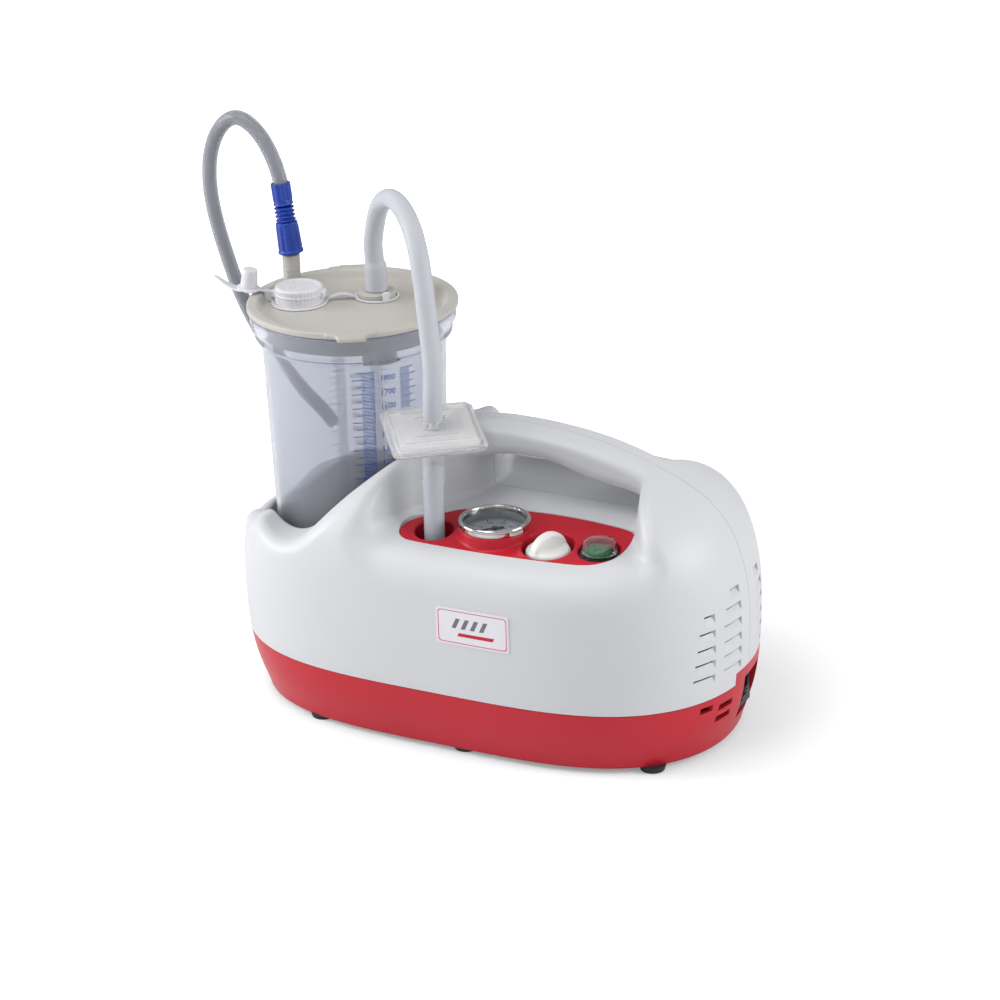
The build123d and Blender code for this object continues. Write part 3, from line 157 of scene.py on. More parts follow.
def closed_curve(points, per=12):
    """Closed smooth outline through points, with `per` points to each span."""
    P = np.array(points, float)
    out = []
    for i in range(len(P)):
        p0, p1, p2, p3 = P[i - 1], P[i], P[(i + 1) % len(P)], P[(i + 2) % len(P)]
        for k in range(per):
            t = k / per
            out.append(0.5 * ((2 * p1) + (p2 - p0) * t + (2 * p0 - 5 * p1 + 4 * p2 - p3) * t * t
                              + (3 * p1 - p0 - 3 * p2 + p3) * t**3))
    return np.array(out)


def round_outline(corners, steps=5):
    """Closed outline of (radius, height, corner radius) with its corners rounded."""
    out = []
    for i, (r, h, corner) in enumerate(corners):
        if corner <= 0:
            out.append((r, h))
            continue
        p = np.array([r, h])
        to_a = np.array(corners[i - 1][:2]) - p
        to_b = np.array(corners[(i + 1) % len(corners)][:2]) - p
        len_a, len_b = np.linalg.norm(to_a), np.linalg.norm(to_b)
        to_a, to_b = to_a / len_a, to_b / len_b
        half = math.acos(max(-1, min(1, float(to_a @ to_b)))) / 2
        t = min(corner / max(math.tan(half), 0.05), len_a * 0.48, len_b * 0.48)
        for k in range(steps + 1):
            s = k / steps
            q = (1 - s) ** 2 * (p + to_a * t) + 2 * s * (1 - s) * p + s * s * (p + to_b * t)
            out.append((float(q[0]), float(q[1])))
    return out


# ---------------------------------------------------------------------------
# distance fields: negative inside, in mm
# ---------------------------------------------------------------------------
def meet(a, b, r):
    """Intersection with an edge of radius r; meet(a, -b, r) cuts b out of a."""
    u = np.maximum(a + r, 0)
    v = np.maximum(b + r, 0)
    return np.minimum(-r, np.maximum(a, b)) + np.sqrt(u * u + v * v)


def join(a, b, r):
    """Union with a fillet of radius r."""
    return -meet(-a, -b, r)


def disc(x, y, centre, radius):
    """Endless upright cylinder."""
    return np.hypot(x - centre[0], y - centre[1]) - radius


def rod(x, y, z, centre, radius, low, high, edge=0.5):
    """Upright cylinder between two heights."""
    return meet(meet(disc(x, y, centre, radius), z - high, edge), low - z, edge)


def rounded_rect(x, y, half_x, half_y, corner):
    qx, qy = np.abs(x) - half_x + corner, np.abs(y) - half_y + corner
    return (np.hypot(np.maximum(qx, 0), np.maximum(qy, 0))
            + np.minimum(np.maximum(qx, qy), 0) - corner)


def segment(x, y, a, b):
    """Distance to the segment a-b, and the share of the way along it."""
    ux, uy = b[0] - a[0], b[1] - a[1]
    t = np.clip(((x - a[0]) * ux + (y - a[1]) * uy) / (ux * ux + uy * uy), 0, 1)
    return np.hypot(x - a[0] - t * ux, y - a[1] - t * uy), t


def turned(x, y, centre, angle):
    """Coordinates along and across a direction in plan."""
    c, s = math.cos(angle), math.sin(angle)
    dx, dy = x - centre[0], y - centre[1]
    return dx * c + dy * s, -dx * s + dy * c


def smoothstep(t):
    t = np.clip(t, 0, 1)
    return t * t * (3 - 2 * t)


def surface_nets(field, low, high, step, level=0.0):
    """Vertices and quads on the level surface of field(x, y, z) in a box."""
    size = [int(math.ceil((b - a) / step)) + 1 for a, b in zip(low, high)]
    xs, ys, zs = (a + step * np.arange(n) for a, n in zip(low, size))
    Y, Z = np.meshgrid(ys, zs, indexing="ij")
    F = np.empty(size, np.float32)
    for i, x in enumerate(xs):
        F[i] = field(np.full_like(Y, x), Y, Z) - level
    inside = F < 0
    cells = [n - 1 for n in size]
    total = np.zeros(cells + [3], np.float32)
    count = np.zeros(cells, np.int16)
    crossings = []
    for d in range(3):
        first, second = [slice(None)] * 3, [slice(None)] * 3
        first[d], second[d] = slice(0, size[d] - 1), slice(1, size[d])
        first, second = tuple(first), tuple(second)
        cross = inside[first] != inside[second]
        at = np.argwhere(cross)
        fa, fb = F[first][cross], F[second][cross]
        place = at.astype(np.float32)
        place[:, d] += fa / (fa - fb)
        # the four cells round each crossed grid edge
        ring = []
        valid = np.ones(len(at), bool)
        for s1, s2 in ((-1, -1), (0, -1), (0, 0), (-1, 0)):
            cell = at.copy()
            cell[:, (d + 1) % 3] += s1
            cell[:, (d + 2) % 3] += s2
            valid &= ((cell >= 0) & (cell < cells)).all(1)
            ring.append(cell)
        ring = [tuple(cell[valid].T) for cell in ring]
        for cell in ring:
            np.add.at(total, cell, place[valid])
            np.add.at(count, cell, 1)
        crossings.append((ring, inside[first][cross][valid]))
    active = count > 0
    index = np.full(cells, -1, np.int64)
    index[active] = np.arange(active.sum())
    V = total[active] / count[active][:, None]
    V = V * step + np.array(low, np.float32)
    quads = []
    for ring, first_inside in crossings:
        ids = np.stack([index[cell] for cell in ring], 1)
        ids[~first_inside] = ids[~first_inside][:, ::-1]
        quads.append(ids)
    return V.astype(float), np.concatenate(quads)


def relax(V, Q, field, level, rounds, strength):
    """Evens out the net while pulling it back onto the surface."""
    E = np.concatenate([Q[:, [0, 1]], Q[:, [1, 2]], Q[:, [2, 3]], Q[:, [3, 0]]])
    n = len(V)
    degree = np.bincount(E[:, 0], minlength=n) + np.bincount(E[:, 1], minlength=n)
    reach = 0.25                # half the span of the gradient samples
    steepness_floor, longest_step = 0.05, 1.5

    def project(V, times):
        for _ in range(times):
            f = field(*V.T) - level
            g = np.stack([(field(*(V + axis * reach).T) - field(*(V - axis * reach).T))
                          / (2 * reach) for axis in np.eye(3)], 1)
            g2 = np.maximum((g * g).sum(1), steepness_floor)
            V = V - np.clip(f / g2, -longest_step, longest_step)[:, None] * g
        return V

    V = project(V, 2)
    for _ in range(rounds):
        s = np.stack([np.bincount(E[:, 0], V[E[:, 1], k], n)
                      + np.bincount(E[:, 1], V[E[:, 0], k], n) for k in range(3)], 1)
        V = V + strength * (s / degree[:, None] - V)
        V = project(V, 1)
    return V


# ---------------------------------------------------------------------------
# mesh helpers
# ---------------------------------------------------------------------------
def link_object(name, data):
    ob = bpy.data.objects.new(name, data)
    COLLECTION.objects.link(ob)
    return ob


def shade_smooth(me, sharp=None):
    me.polygons.foreach_set("use_smooth", [True] * len(me.polygons))
    if sharp:
        me.set_sharp_from_angle(angle=math.radians(sharp))


def raw_mesh(name, V, F):
    me = bpy.data.meshes.new(name)
    me.from_pydata(np.stack(metres(*V.T), 1).tolist(), [], F)
    me.update()
    return me


def from_bmesh(bm, name, sharp=None):
    bmesh.ops.recalc_face_normals(bm, faces=bm.faces)
    me = bpy.data.meshes.new(name)
    bm.to_mesh(me)
    bm.free()
    shade_smooth(me, sharp)
    return link_object(name, me)


def axes_of(axis, side=(1, 0, 0)):
    """Right-handed axes whose third follows `axis` and whose first leans to `side`."""
    a = Vector(axis).normalized()
    u = Vector(side)
    u = (u - a * u.dot(a)).normalized()
    return u, a.cross(u), a


def bridge(bm, A, B):
    """Faces between two rings; a ring of one vertex is a pole."""
    n = max(len(A), len(B))
    for k in range(n):
        j = (k + 1) % n
        corners = dict.fromkeys((A[k % len(A)], A[j % len(A)], B[j % len(B)], B[k % len(B)]))
        if len(corners) > 2:
            bm.faces.new(tuple(corners))


def lathe(name, profile, origin, segments, axis=(0, 0, 1), sharp=35.0):
    """Closed profile of (radius, height) turned round an axis."""
    o = Vector(origin)
    u, v, a = axes_of(axis)
    bm = bmesh.new()
    rings = []
    for r, h in profile:
        if r < 1e-6:
            rings.append([bm.verts.new(metres(*(o + a * h)))])
            continue
        turns = [2 * math.pi * k / segments for k in range(segments)]
        rings.append([bm.verts.new(metres(*(o + a * h + (u * math.cos(t) + v * math.sin(t)) * r)))
                      for t in turns])
    for i, ring in enumerate(rings):
        bridge(bm, ring, rings[(i + 1) % len(rings)])
    return from_bmesh(bm, name, sharp)


def tube(name, path, outer_radius, inner_radius, segments):
    """Hollow hose; outer_radius is a function of the share of its length."""
    n = len(path)
    D = np.gradient(path, axis=0)
    D /= np.linalg.norm(D, axis=1)[:, None]
    side = np.cross(D[0], [0, 1, 0.3])
    bm = bmesh.new()
    outer, inner = [], []
    for i in range(n):
        side = side - D[i] * (side @ D[i])
        side /= np.linalg.norm(side)
        across = np.cross(D[i], side)
        radius = outer_radius(i / (n - 1))
        outer.append([])
        inner.append([])
        for k in range(segments):
            t = 2 * math.pi * k / segments
            e = side * math.cos(t) + across * math.sin(t)
            outer[i].append(bm.verts.new(metres(*(path[i] + e * radius))))
            inner[i].append(bm.verts.new(metres(*(path[i] + e * inner_radius))))
    for i in range(n - 1):
        bridge(bm, outer[i], outer[i + 1])
        bridge(bm, inner[i + 1], inner[i])
    bridge(bm, inner[0], outer[0])
    bridge(bm, outer[-1], inner[-1])
    return from_bmesh(bm, name, sharp=50)


def field_piece(name, field, low, high, step, rounds=2, origin=None, axis=None,
                side=None):
    """Object on the zero surface of a field, moved to its own axes where these are given."""
    V, Q = surface_nets(field, low, high, step)
    V = relax(V, Q, field, level=0.0, rounds=rounds, strength=0.4)
    if origin is not None:
        V = V @ np.array([list(e) for e in axes_of(axis, side)]) + np.array(list(Vector(origin)))
    me = raw_mesh(name, V, Q.tolist())
    shade_smooth(me)
    return link_object(name, me)


def prism(bm, outline, low, high):
    """Closed prism over an outline of (x, y) between two height functions."""
    a = [bm.verts.new(metres(x, y, low(x, y))) for x, y in outline]
    b = [bm.verts.new(metres(x, y, high(x, y))) for x, y in outline]
    bridge(bm, a, b)
    bm.faces.new(a[::-1])
    bm.faces.new(b)


def box_into(bm, low, high):
    v = [bm.verts.new(metres(x, y, z)) for x in (low[0], high[0])
         for y in (low[1], high[1]) for z in (low[2], high[2])]
    for f in ((0, 1, 3, 2), (4, 6, 7, 5), (0, 4, 5, 1), (2, 3, 7, 6), (0, 2, 6, 4), (1, 5, 7, 3)):
        bm.faces.new([v[i] for i in f])


def cut_fill(bm, place, normal):
    """Drops the side the normal points to and closes the cut."""
    cut = bmesh.ops.bisect_plane(bm, geom=bm.verts[:] + bm.edges[:] + bm.faces[:], dist=1e-7,
                                 plane_co=place, plane_no=normal,
                                 clear_outer=True, clear_inner=False)
    edges = [e for e in cut["geom_cut"] if isinstance(e, bmesh.types.BMEdge) and e.is_boundary]
    if edges:
        bmesh.ops.triangle_fill(bm, use_beauty=True, use_dissolve=False, edges=edges,
                                normal=normal)


def subtract(ob, cutter):
    mod = ob.modifiers.new("cut", "BOOLEAN")
    mod.operation, mod.solver, mod.object = "DIFFERENCE", "EXACT", cutter
    depsgraph = bpy.context.evaluated_depsgraph_get()
    me = bpy.data.meshes.new_from_object(ob.evaluated_get(depsgraph))
    ob.modifiers.clear()
    old = ob.data
    ob.data = me
    me.name = ob.name
    bpy.data.meshes.remove(old)


def wrapped(name, chunks, place=lambda V: V):
    """Flat pieces (V, F) gathered in one object, bent onto a surface by `place`."""
    vertices, faces = [], []
    base = 0
    for V, F in chunks:
        vertices.append(place(V))
        faces += [[i + base for i in f] for f in F]
        base += len(V)
    return link_object(name, raw_mesh(name, np.concatenate(vertices), faces))


def text_piece(body, size):
    """Flat text as (V, F), centred on its origin and 0.1 thick."""
    curve = bpy.data.curves.new("txt", "FONT")
    curve.body, curve.size, curve.extrude = body, size, 0.05
    curve.align_x, curve.align_y = "CENTER", "CENTER"
    curve.resolution_u = 3
    ob = link_object("txt", curve)
    depsgraph = bpy.context.evaluated_depsgraph_get()
    me = bpy.data.meshes.new_from_object(ob.evaluated_get(depsgraph))
    bpy.data.objects.remove(ob)
    bpy.data.curves.remove(curve)
    bm = bmesh.new()
    bm.from_mesh(me)
    bmesh.ops.remove_doubles(bm, verts=bm.verts, dist=1e-5)
    bmesh.ops.triangulate(bm, faces=bm.faces)
    V = np.array([v.co[:] for v in bm.verts])
    F = [[v.index for v in f.verts] for f in bm.faces]
    bm.free()
    bpy.data.meshes.remove(me)
    return V, F


def strip(u0, u1, z0, z1, low, high, spacing, slant=0.0):
    """Flat bar as (V, F), split along u so that it can be bent; its top is shifted by slant."""
    n = max(2, int((u1 - u0) / spacing) + 1)
    V, F = [], []
    for u in np.linspace(u0, u1, n):
        V += [(u, z0, low), (u + slant, z1, low), (u + slant, z1, high), (u, z0, high)]
    for i in range(n - 1):
        for k in range(4):
            a, b = i * 4 + k, i * 4 + (k + 1) % 4
            F.append([a, b, b + 4, a + 4])
    F.append([0, 3, 2, 1])
    F.append([(n - 1) * 4 + k for k in range(4)])
    return np.array(V, float), F


# ---------------------------------------------------------------------------
# materials: every one has its own grain, colour drift and roughness drift
# ---------------------------------------------------------------------------
MAT = {}


def set_inputs(tree, node, inputs):
    """Links the inputs given as sockets and sets the others."""
    for key, value in inputs.items():
        if isinstance(value, bpy.types.NodeSocket):
            tree.links.new(value, node.inputs[key])
        else:
            node.inputs[key].default_value = value


def add_node(tree, kind, inputs={}, **settings):
    """Adds a shader node and returns it."""
    node = tree.nodes.new("ShaderNode" + kind)
    for key, value in settings.items():
        setattr(node, key, value)
    set_inputs(tree, node, inputs)
    return node


def color_ramp(tree, factor, low, high, ends=(0.0, 1.0)):
    node = add_node(tree, "ValToRGB", {"Fac": factor})
    for element, place, color in zip(node.color_ramp.elements, ends, (low, high)):
        element.position = place
        element.color = (*color, 1)
    return node.outputs["Color"]


def srgb(*channels):
    """Linear colour from 0-255 channels."""
    scaled = [c / 255.0 for c in channels]
    return tuple(c / 12.92 if c <= 0.04045 else ((c + 0.055) / 1.055) ** 2.4 for c in scaled)


def material(name, color, rough, metal=0.0, clear=0.0, ior=1.46, grain=900.0, bump=0.03,
             drift=0.03, rough_drift=0.08, subsurface=0.0, specular=0.5, soft=0.0, stretch=None):
    """grain: noise scale; soft: radius in metres of shaded edges; stretch: scale of the grain."""
    m = bpy.data.materials.new(name)
    m.use_nodes = True
    tree = m.node_tree
    coords = add_node(tree, "TexCoord").outputs["Object"]
    mapping = add_node(tree, "Mapping", {"Vector": coords})
    if stretch:
        mapping.inputs["Scale"].default_value = stretch
    vector = mapping.outputs["Vector"]
    patches = add_node(tree, "TexNoise", {"Vector": vector, "Scale": 22.0, "Detail": 3.0})
    fine = add_node(tree, "TexNoise", {"Vector": vector, "Scale": grain, "Detail": 2.0})
    tint = color_ramp(tree, patches.outputs["Fac"],
                      [max(0.0, c * (1 - drift)) for c in color],
                      [min(1.0, c * (1 + drift)) for c in color], ends=(0.3, 0.7))
    roughness = add_node(tree, "MapRange", {
        "Value": fine.outputs["Fac"], "From Min": 0.3, "From Max": 0.7,
        "To Min": max(0.0, rough - rough_drift), "To Max": min(1.0, rough + rough_drift)})
    relief = add_node(tree, "Bump", {"Strength": bump, "Distance": 0.0004,
                                     "Height": fine.outputs["Fac"]})
    if soft > 0:
        bevel = add_node(tree, "Bevel", {"Radius": soft}, samples=4)
        tree.links.new(bevel.outputs["Normal"], relief.inputs["Normal"])
    shader = tree.nodes["Principled BSDF"]
    set_inputs(tree, shader, {
        "Base Color": tint, "Roughness": roughness.outputs["Result"],
        "Normal": relief.outputs["Normal"], "Metallic": metal, "IOR": ior,
        "Transmission Weight": clear, "Coat Roughness": 0.12, "Specular IOR Level": specular})
    if subsurface > 0:
        set_inputs(tree, shader, {"Subsurface Weight": subsurface, "Subsurface Scale": 1.0,
                                  "Subsurface Radius": (0.004, 0.004, 0.004)})
    m.diffuse_color = (*color, 1)
    MAT[name] = m


# even clear plastics: coarse, faint variation and no relief
EVEN = dict(grain=60, bump=0.0, drift=0.01, rough_drift=0.01)

material("housing_grey", srgb(207, 208, 211), rough=0.42, grain=2600, bump=0.05, drift=0.008,
         rough_drift=0.05)
material("housing_red", srgb(192, 32, 48), rough=0.34, grain=2400, bump=0.04, soft=0.0005,
         specular=0.35)
material("panel_red", srgb(190, 26, 44), rough=0.34, grain=2400, bump=0.04, specular=0.3)
material("rubber_black", (0.03, 0.03, 0.032), rough=0.7, grain=1200, bump=0.15)
material("steel", (0.45, 0.45, 0.46), rough=0.32, metal=1.0, stretch=(1, 8, 1), soft=0.0003)
material("zinc_screw", (0.55, 0.55, 0.56), rough=0.3, metal=1.0, soft=0.0003)
material("chrome", (0.62, 0.61, 0.59), rough=0.1, metal=1.0, bump=0.01, drift=0.01,
         rough_drift=0.03)
material("clear_glass", (0.97, 0.98, 0.98), rough=0.02, clear=1.0, ior=1.3, bump=0.004,
         drift=0.004, rough_drift=0.01)
material("dial_grey", srgb(188, 197, 210), rough=0.5, drift=0.015)
material("ink_dark", (0.02, 0.022, 0.03), rough=0.5)
material("black_plastic", (0.018, 0.018, 0.02), rough=0.35, bump=0.06, soft=0.0003)
material("white_plastic", srgb(232, 231, 229), rough=0.34, drift=0.01)
material("green_plastic", srgb(8, 120, 68), rough=0.28, drift=0.05, soft=0.0004)
material("clear_boot", (0.93, 0.94, 0.94), rough=0.08, clear=0.97, ior=1.2, bump=0.01,
         rough_drift=0.03)
material("brass", (0.62, 0.45, 0.18), rough=0.3, metal=1.0, soft=0.0003)
material("jar_clear", (0.70, 0.72, 0.78), rough=0.06, clear=0.82, ior=1.33, **EVEN)
material("ink_blue", srgb(44, 84, 160), rough=0.45, drift=0.08)
material("ivory_plastic", srgb(186, 183, 176), rough=0.42, bump=0.04, drift=0.012)
material("translucent_white", srgb(212, 212, 217), rough=0.3, bump=0.0, drift=0.01,
         subsurface=0.3)
material("gasket_violet", srgb(104, 86, 150), rough=0.5)
material("silicone", srgb(214, 216, 223), rough=0.26, clear=0.3, ior=1.25, **EVEN)
material("clear_plastic", (0.99, 0.99, 1.0), rough=0.08, clear=0.8, ior=1.25, **EVEN)
material("filter_paper", srgb(232, 232, 232), rough=0.85, grain=1500, bump=0.3)
material("blue_plastic", srgb(28, 62, 160), rough=0.32, drift=0.06)
material("tube_smoke", (0.44, 0.45, 0.49), rough=0.18, clear=0.55, ior=1.25,
         **{**EVEN, "drift": 0.02})
material("copper", (0.72, 0.34, 0.17), rough=0.35, metal=1.0, stretch=(40, 1, 1))
material("aluminium", (0.62, 0.62, 0.63), rough=0.38, metal=1.0, bump=0.08, soft=0.0005)
material("label", srgb(226, 224, 230), rough=0.35, drift=0.01)
material("ink_pink", srgb(206, 70, 96), rough=0.4)
material("ink_grey", srgb(110, 108, 116), rough=0.4)
material("ink_red", srgb(190, 24, 48), rough=0.4)
material("tube_black", (0.02, 0.02, 0.022), rough=0.5, bump=0.1)


def calm_bounce(m, grey):
    """Diffuse bounce rays see a dull grey in place of the strong colour."""
    tree = m.node_tree
    shader = tree.nodes["Principled BSDF"]
    tint = shader.inputs["Base Color"].links[0].from_socket
    path = add_node(tree, "LightPath")
    # inputs of the colour mix: 0 factor, 6 first colour, 7 second colour
    mix = add_node(tree, "Mix", {0: path.outputs["Is Diffuse Ray"], 6: tint,
                                 7: (grey, grey * 0.93, grey * 0.94, 1)}, data_type="RGBA")
    tree.links.new(mix.outputs[2], shader.inputs["Base Color"])


for red in ("housing_red", "panel_red"):
    calm_bounce(MAT[red], grey=0.34)


def add_detail(ob, node, mat):
    """Gives an object its material and lets it ride on the body of a CAD node."""
    ob.data.materials.clear()
    ob.data.materials.append(MAT[mat])
    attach(ob, BODY[node])


def replace_piece(ob, node, mat):
    """As add_detail, with the object in place of the CAD node."""
    add_detail(ob, node, mat)
    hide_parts(node)


# ---------------------------------------------------------------------------
# housing form
# ---------------------------------------------------------------------------
# superellipse hull: z, half length in x, half width in y
HULL = np.array([
    (0.0, 168.2, 92.0), (4.0, 169.3, 93.1), (12.0, 171.6, 95.6), (25.0, 175.6, 99.8),
    (47.4, 179.6, 104.2), (75.0, 181.0, 106.2), (100.0, 180.6, 106.8), (118.0, 178.2, 106.6),
    (130.0, 175.2, 105.8), (139.0, 172.2, 104.2), (147.0, 168.6, 101.4), (155.0, 163.6, 96.6),
    (163.0, 156.6, 89.6), (171.0, 146.8, 81.0), (179.0, 131.6, 70.6), (186.0, 114.4, 59.6),
    (192.0, 96.6, 47.6), (197.0, 76.6, 34.6), (200.5, 56.0, 22.0), (202.6, 36.0, 11.0),
    (203.6, 18.0, 5.0)])
POWER_X, POWER_Y = 3.58, 2.06
HULL_TOP = 203.4
# top outline over the jar end: x, z
SWOOP = np.array([
    (-260.0, 139.0), (-200.0, 139.0), (-180.0, 140.0), (-165.0, 140.0), (-150.0, 138.2),
    (-137.0, 133.5), (-127.0, 130.2), (-117.0, 129.4), (-107.0, 132.0), (-97.0, 138.4),
    (-87.0, 148.4), (-77.0, 159.2), (-67.0, 168.6), (-57.0, 176.6), (-47.0, 183.8),
    (-35.0, 191.2), (-20.0, 198.4), (-5.0, 204.0), (10.0, 209.0), (40.0, 216.0),
    (260.0, 260.0)])
# side walls of the recesses: y (mirrored for the rear one), x at WALL_Z, lean in x per mm of z
WALL_Z = 148
LEFT_EDGE = np.array([
    (-140.0, -62.0, 0.25), (-120.0, -56.0, 0.25), (-95.0, -50.5, 0.25), (-78.0, -46.0, 0.25),
    (-62.0, -39.5, 0.25), (-47.0, -31.8, 0.25), (-35.0, -24.0, 0.22), (-25.0, -16.2, 0.17),
    (-14.0, -7.6, 0.09), (-6.0, -2.6, 0.03), (2.0, -0.6, 0.0), (12.0, 0.0, 0.0),
    (60.0, 0.0, 0.0)])
RIGHT_EDGE = np.array([
    (-140.0, 190.0, 0.18), (-120.0, 172.0, 0.18), (-110.0, 166.0, 0.18), (-95.0, 157.5, 0.18),
    (-81.0, 147.6, 0.18), (-70.0, 138.0, 0.18), (-60.0, 129.6, 0.18), (-50.0, 122.0, 0.18),
    (-40.0, 116.4, 0.16), (-28.0, 112.0, 0.13), (-14.0, 109.8, 0.08), (0.0, 109.0, 0.03),
    (12.0, 109.0, 0.0), (60.0, 109.0, 0.0)])
FRONT_FLOOR = (PANEL_Z, PANEL_SLOPE)    # recess floors: z at y = 0, rise per mm of y
REAR_FLOOR = (173.0, -0.2)
RECESS_DEPTH = 25.0                     # how far a recess reaches past the middle
# underside of the handle bar: x, z
UNDERSIDE = np.array([
    (-260.0, 100.0), (-40.0, 158.0), (-25.0, 165.0), (-12.0, 172.4), (-1.4, 177.9),
    (7.6, 180.9), (22.3, 182.7), (37.2, 183.0), (49.0, 181.2), (60.6, 177.4), (72.2, 174.0),
    (86.6, 171.4), (101.0, 169.6), (110.0, 167.0), (124.0, 162.0), (145.0, 154.0),
    (260.0, 120.0)])
HANDLE_HALF_WIDTH = 17.0

half_length, half_width = smooth_curves(HULL, 1.0)
swoop_z, = smooth_curves(SWOOP, 2.0)
left_x, left_lean = smooth_curves(LEFT_EDGE, 2.0)
right_x, right_lean = smooth_curves(RIGHT_EDGE, 2.0)
underside_z, = smooth_curves(UNDERSIDE, 2.0)


def hull_field(x, y, z):
    a, b = half_length(z), half_width(z)
    px, py = (np.abs(x) / a)**POWER_X, (np.abs(y) / b)**POWER_Y
    q = np.maximum(px + py, 1e-6)
    # dividing by the gradient turns the superellipse value into a distance
    gx = POWER_X * px / np.maximum(np.abs(x), 1e-3)
    gy = POWER_Y * py / np.maximum(np.abs(y), 1e-3)
    gz = -(POWER_X * px * half_length.slope(z) / a + POWER_Y * py * half_width.slope(z) / b)
    p = 1 / 2.6
    g = np.sqrt(gx * gx + gy * gy + gz * gz) * p * q ** (p - 1)
    d = np.clip((q**p - 1) / np.maximum(g, 2e-3), -60, 60)
    d = meet(d, z - HULL_TOP, 3.0)
    return meet(d, FEET - z, 2.5)


def recess_field(x, y, z, front):
    along = y if front else -y
    lean = left_lean(along)
    left = ((left_x(along) - lean * (z - WALL_Z) - x)
            / np.sqrt(1 + left_x.slope(along)**2 + lean * lean))
    lean = right_lean(along)
    right = ((x - right_x(along) - lean * (z - WALL_Z))
             / np.sqrt(1 + right_x.slope(along)**2 + lean * lean))
    floor_z, slope = FRONT_FLOOR if front else REAR_FLOOR
    floor = (floor_z + slope * y - z) / math.sqrt(1 + slope**2)
    left_crease = np.interp(along, [-130, -95, -70, -45, -20, 0], [16, 13, 9, 6, 4, 3.0])
    right_crease = np.interp(along, [-110, -60, 0], [6, 5, 3.0])
    d = meet(floor, left, left_crease)
    d = meet(d, right, right_crease)
    return meet(d, along - RECESS_DEPTH, 5.0)


def handle_field(x, y, z):
    under = (underside_z(x) - z) / np.sqrt(1 + underside_z.slope(x)**2)
    side = np.abs(y) - HANDLE_HALF_WIDTH
    return meet(meet(under, side, 9.5), z - 230.0, 2)


def housing_field(x, y, z):
    # the left end is lower, most of all near the middle plane
    end = smoothstep((-138.0 - x) / 16.0)
    off_middle = smoothstep((np.abs(y) - 20.0) / 32.0)
    top = swoop_z(x) * (1 - end) + end * (118.5 + 11.5 * off_middle)
    swoop = (z - top) / np.sqrt(1 + swoop_z.slope(x)**2)
    d = meet(hull_field(x, y, z), swoop, 8.0)
    # the handle bar stays between both recesses
    cut = np.minimum(recess_field(x, y, z, True), recess_field(x, y, z, False))
    cut = meet(cut, -handle_field(x, y, z), 3.0)
    edge = np.interp(z, [120, 146, 160, 200], [20, 16, 8, 7.5])
    d = meet(d, -cut, edge)
    # rounded hump behind the left end of the bar
    hump = (np.sqrt(((x + 19.0) / 15.5) ** 2 + ((y - 32.0) / 14.0) ** 2
                    + ((z - 180.0) / 15.5) ** 2) - 1) * 14.5
    d = join(d, np.maximum(hump, d - 14.0), 6.0)
    well = JAR_WELL_RADIUS - np.sqrt((x - JAR_X) ** 2 + y * y)
    return meet(d, well, 2.2)


# ---------------------------------------------------------------------------
# covers
# ---------------------------------------------------------------------------
WALL = 2.6
COVER_LOW = 47.6                # lower edge of both covers
SEAM = 0.17                     # half the gap between the covers
PANEL_GAP = 0.25
# vent slots of the front cover: y0, y1, z; the rear cover mirrors them
VENTS = [(-49.5, -41.0, 105.0), (-53.5, -41.0, 94.0), (-55.0, -41.0, 83.0),
         (-56.5, -41.0, 73.0), (-57.5, -41.0, 62.5), (-24.0, -13.0, 115.0),
         (-30.0, -13.0, 104.0), (-33.0, -13.0, 93.0), (-33.0, -13.0, 82.0),
         (-33.0, -13.0, 72.0), (-33.0, -13.0, 62.0)]
# notch in the lower edge at the vented end, as a y range for each cover
NOTCH_X, NOTCH_Z = (168, 195), (40, 56.2)
# control panel in plan: x, y, clockwise seen from above
PANEL = closed_curve([
    (-34.9, -74.3), (-37.1, -65.6), (-33.6, -55.4), (-25.7, -47.8), (-16.9, -42.1),
    (-8.4, -35.7), (8.0, -29.6), (24.0, -26.6), (40.0, -25.0), (57.0, -24.2), (75.0, -24.6),
    (93.0, -26.2), (105.7, -28.1), (112.6, -31.2), (115.3, -37.0), (115.6, -46.0),
    (114.6, -56.5), (110.7, -65.9), (102.5, -73.2), (92.1, -76.8), (75.7, -78.6),
    (50.0, -80.4), (25.0, -81.4), (0.0, -81.4), (-18.0, -81.0), (-28.5, -79.6)])


def grown(outline, gap):
    """Clockwise outline moved outward."""
    T = np.roll(outline, -1, 0) - np.roll(outline, 1, 0)
    T /= np.linalg.norm(T, axis=1)[:, None]
    return outline + gap * np.stack([-T[:, 1], T[:, 0]], 1)


def panel_z(y):
    return PANEL_Z + PANEL_SLOPE * y


def end_x(y, z):
    """Outer face of the vented end, found by bisection."""
    low, high = 120.0, 195.0
    for _ in range(24):
        mid = (low + high) / 2
        if housing_field(*np.array([[mid], [y], [z]], float))[0] < 0:
            low = mid
        else:
            high = mid
    return low


def louvre(bm, y0, y1, z):
    """Slot cutter whose sill rises inward to a thin gap under the upper lip."""
    rings = []
    for y in np.linspace(y0, y1, 6):
        low_x, top_x = end_x(y, z - 3.5), end_x(y, z + 2.8)
        section = [(low_x + 0.15, z - 3.7), (low_x + 9, z - 3.7), (top_x + 9, z + 2.9),
                   (top_x - 12, z + 2.9), (top_x - 12, z + 0.4), (top_x - 2.1, z + 0.6)]
        rings.append([bm.verts.new(metres(px, y, pz)) for px, pz in section])
    for a, b in zip(rings[:-1], rings[1:]):
        for i in range(6):
            j = (i + 1) % 6
            bm.faces.new((a[i], b[i], b[j], a[j]))
    bm.faces.new(rings[0])
    bm.faces.new(rings[-1][::-1])


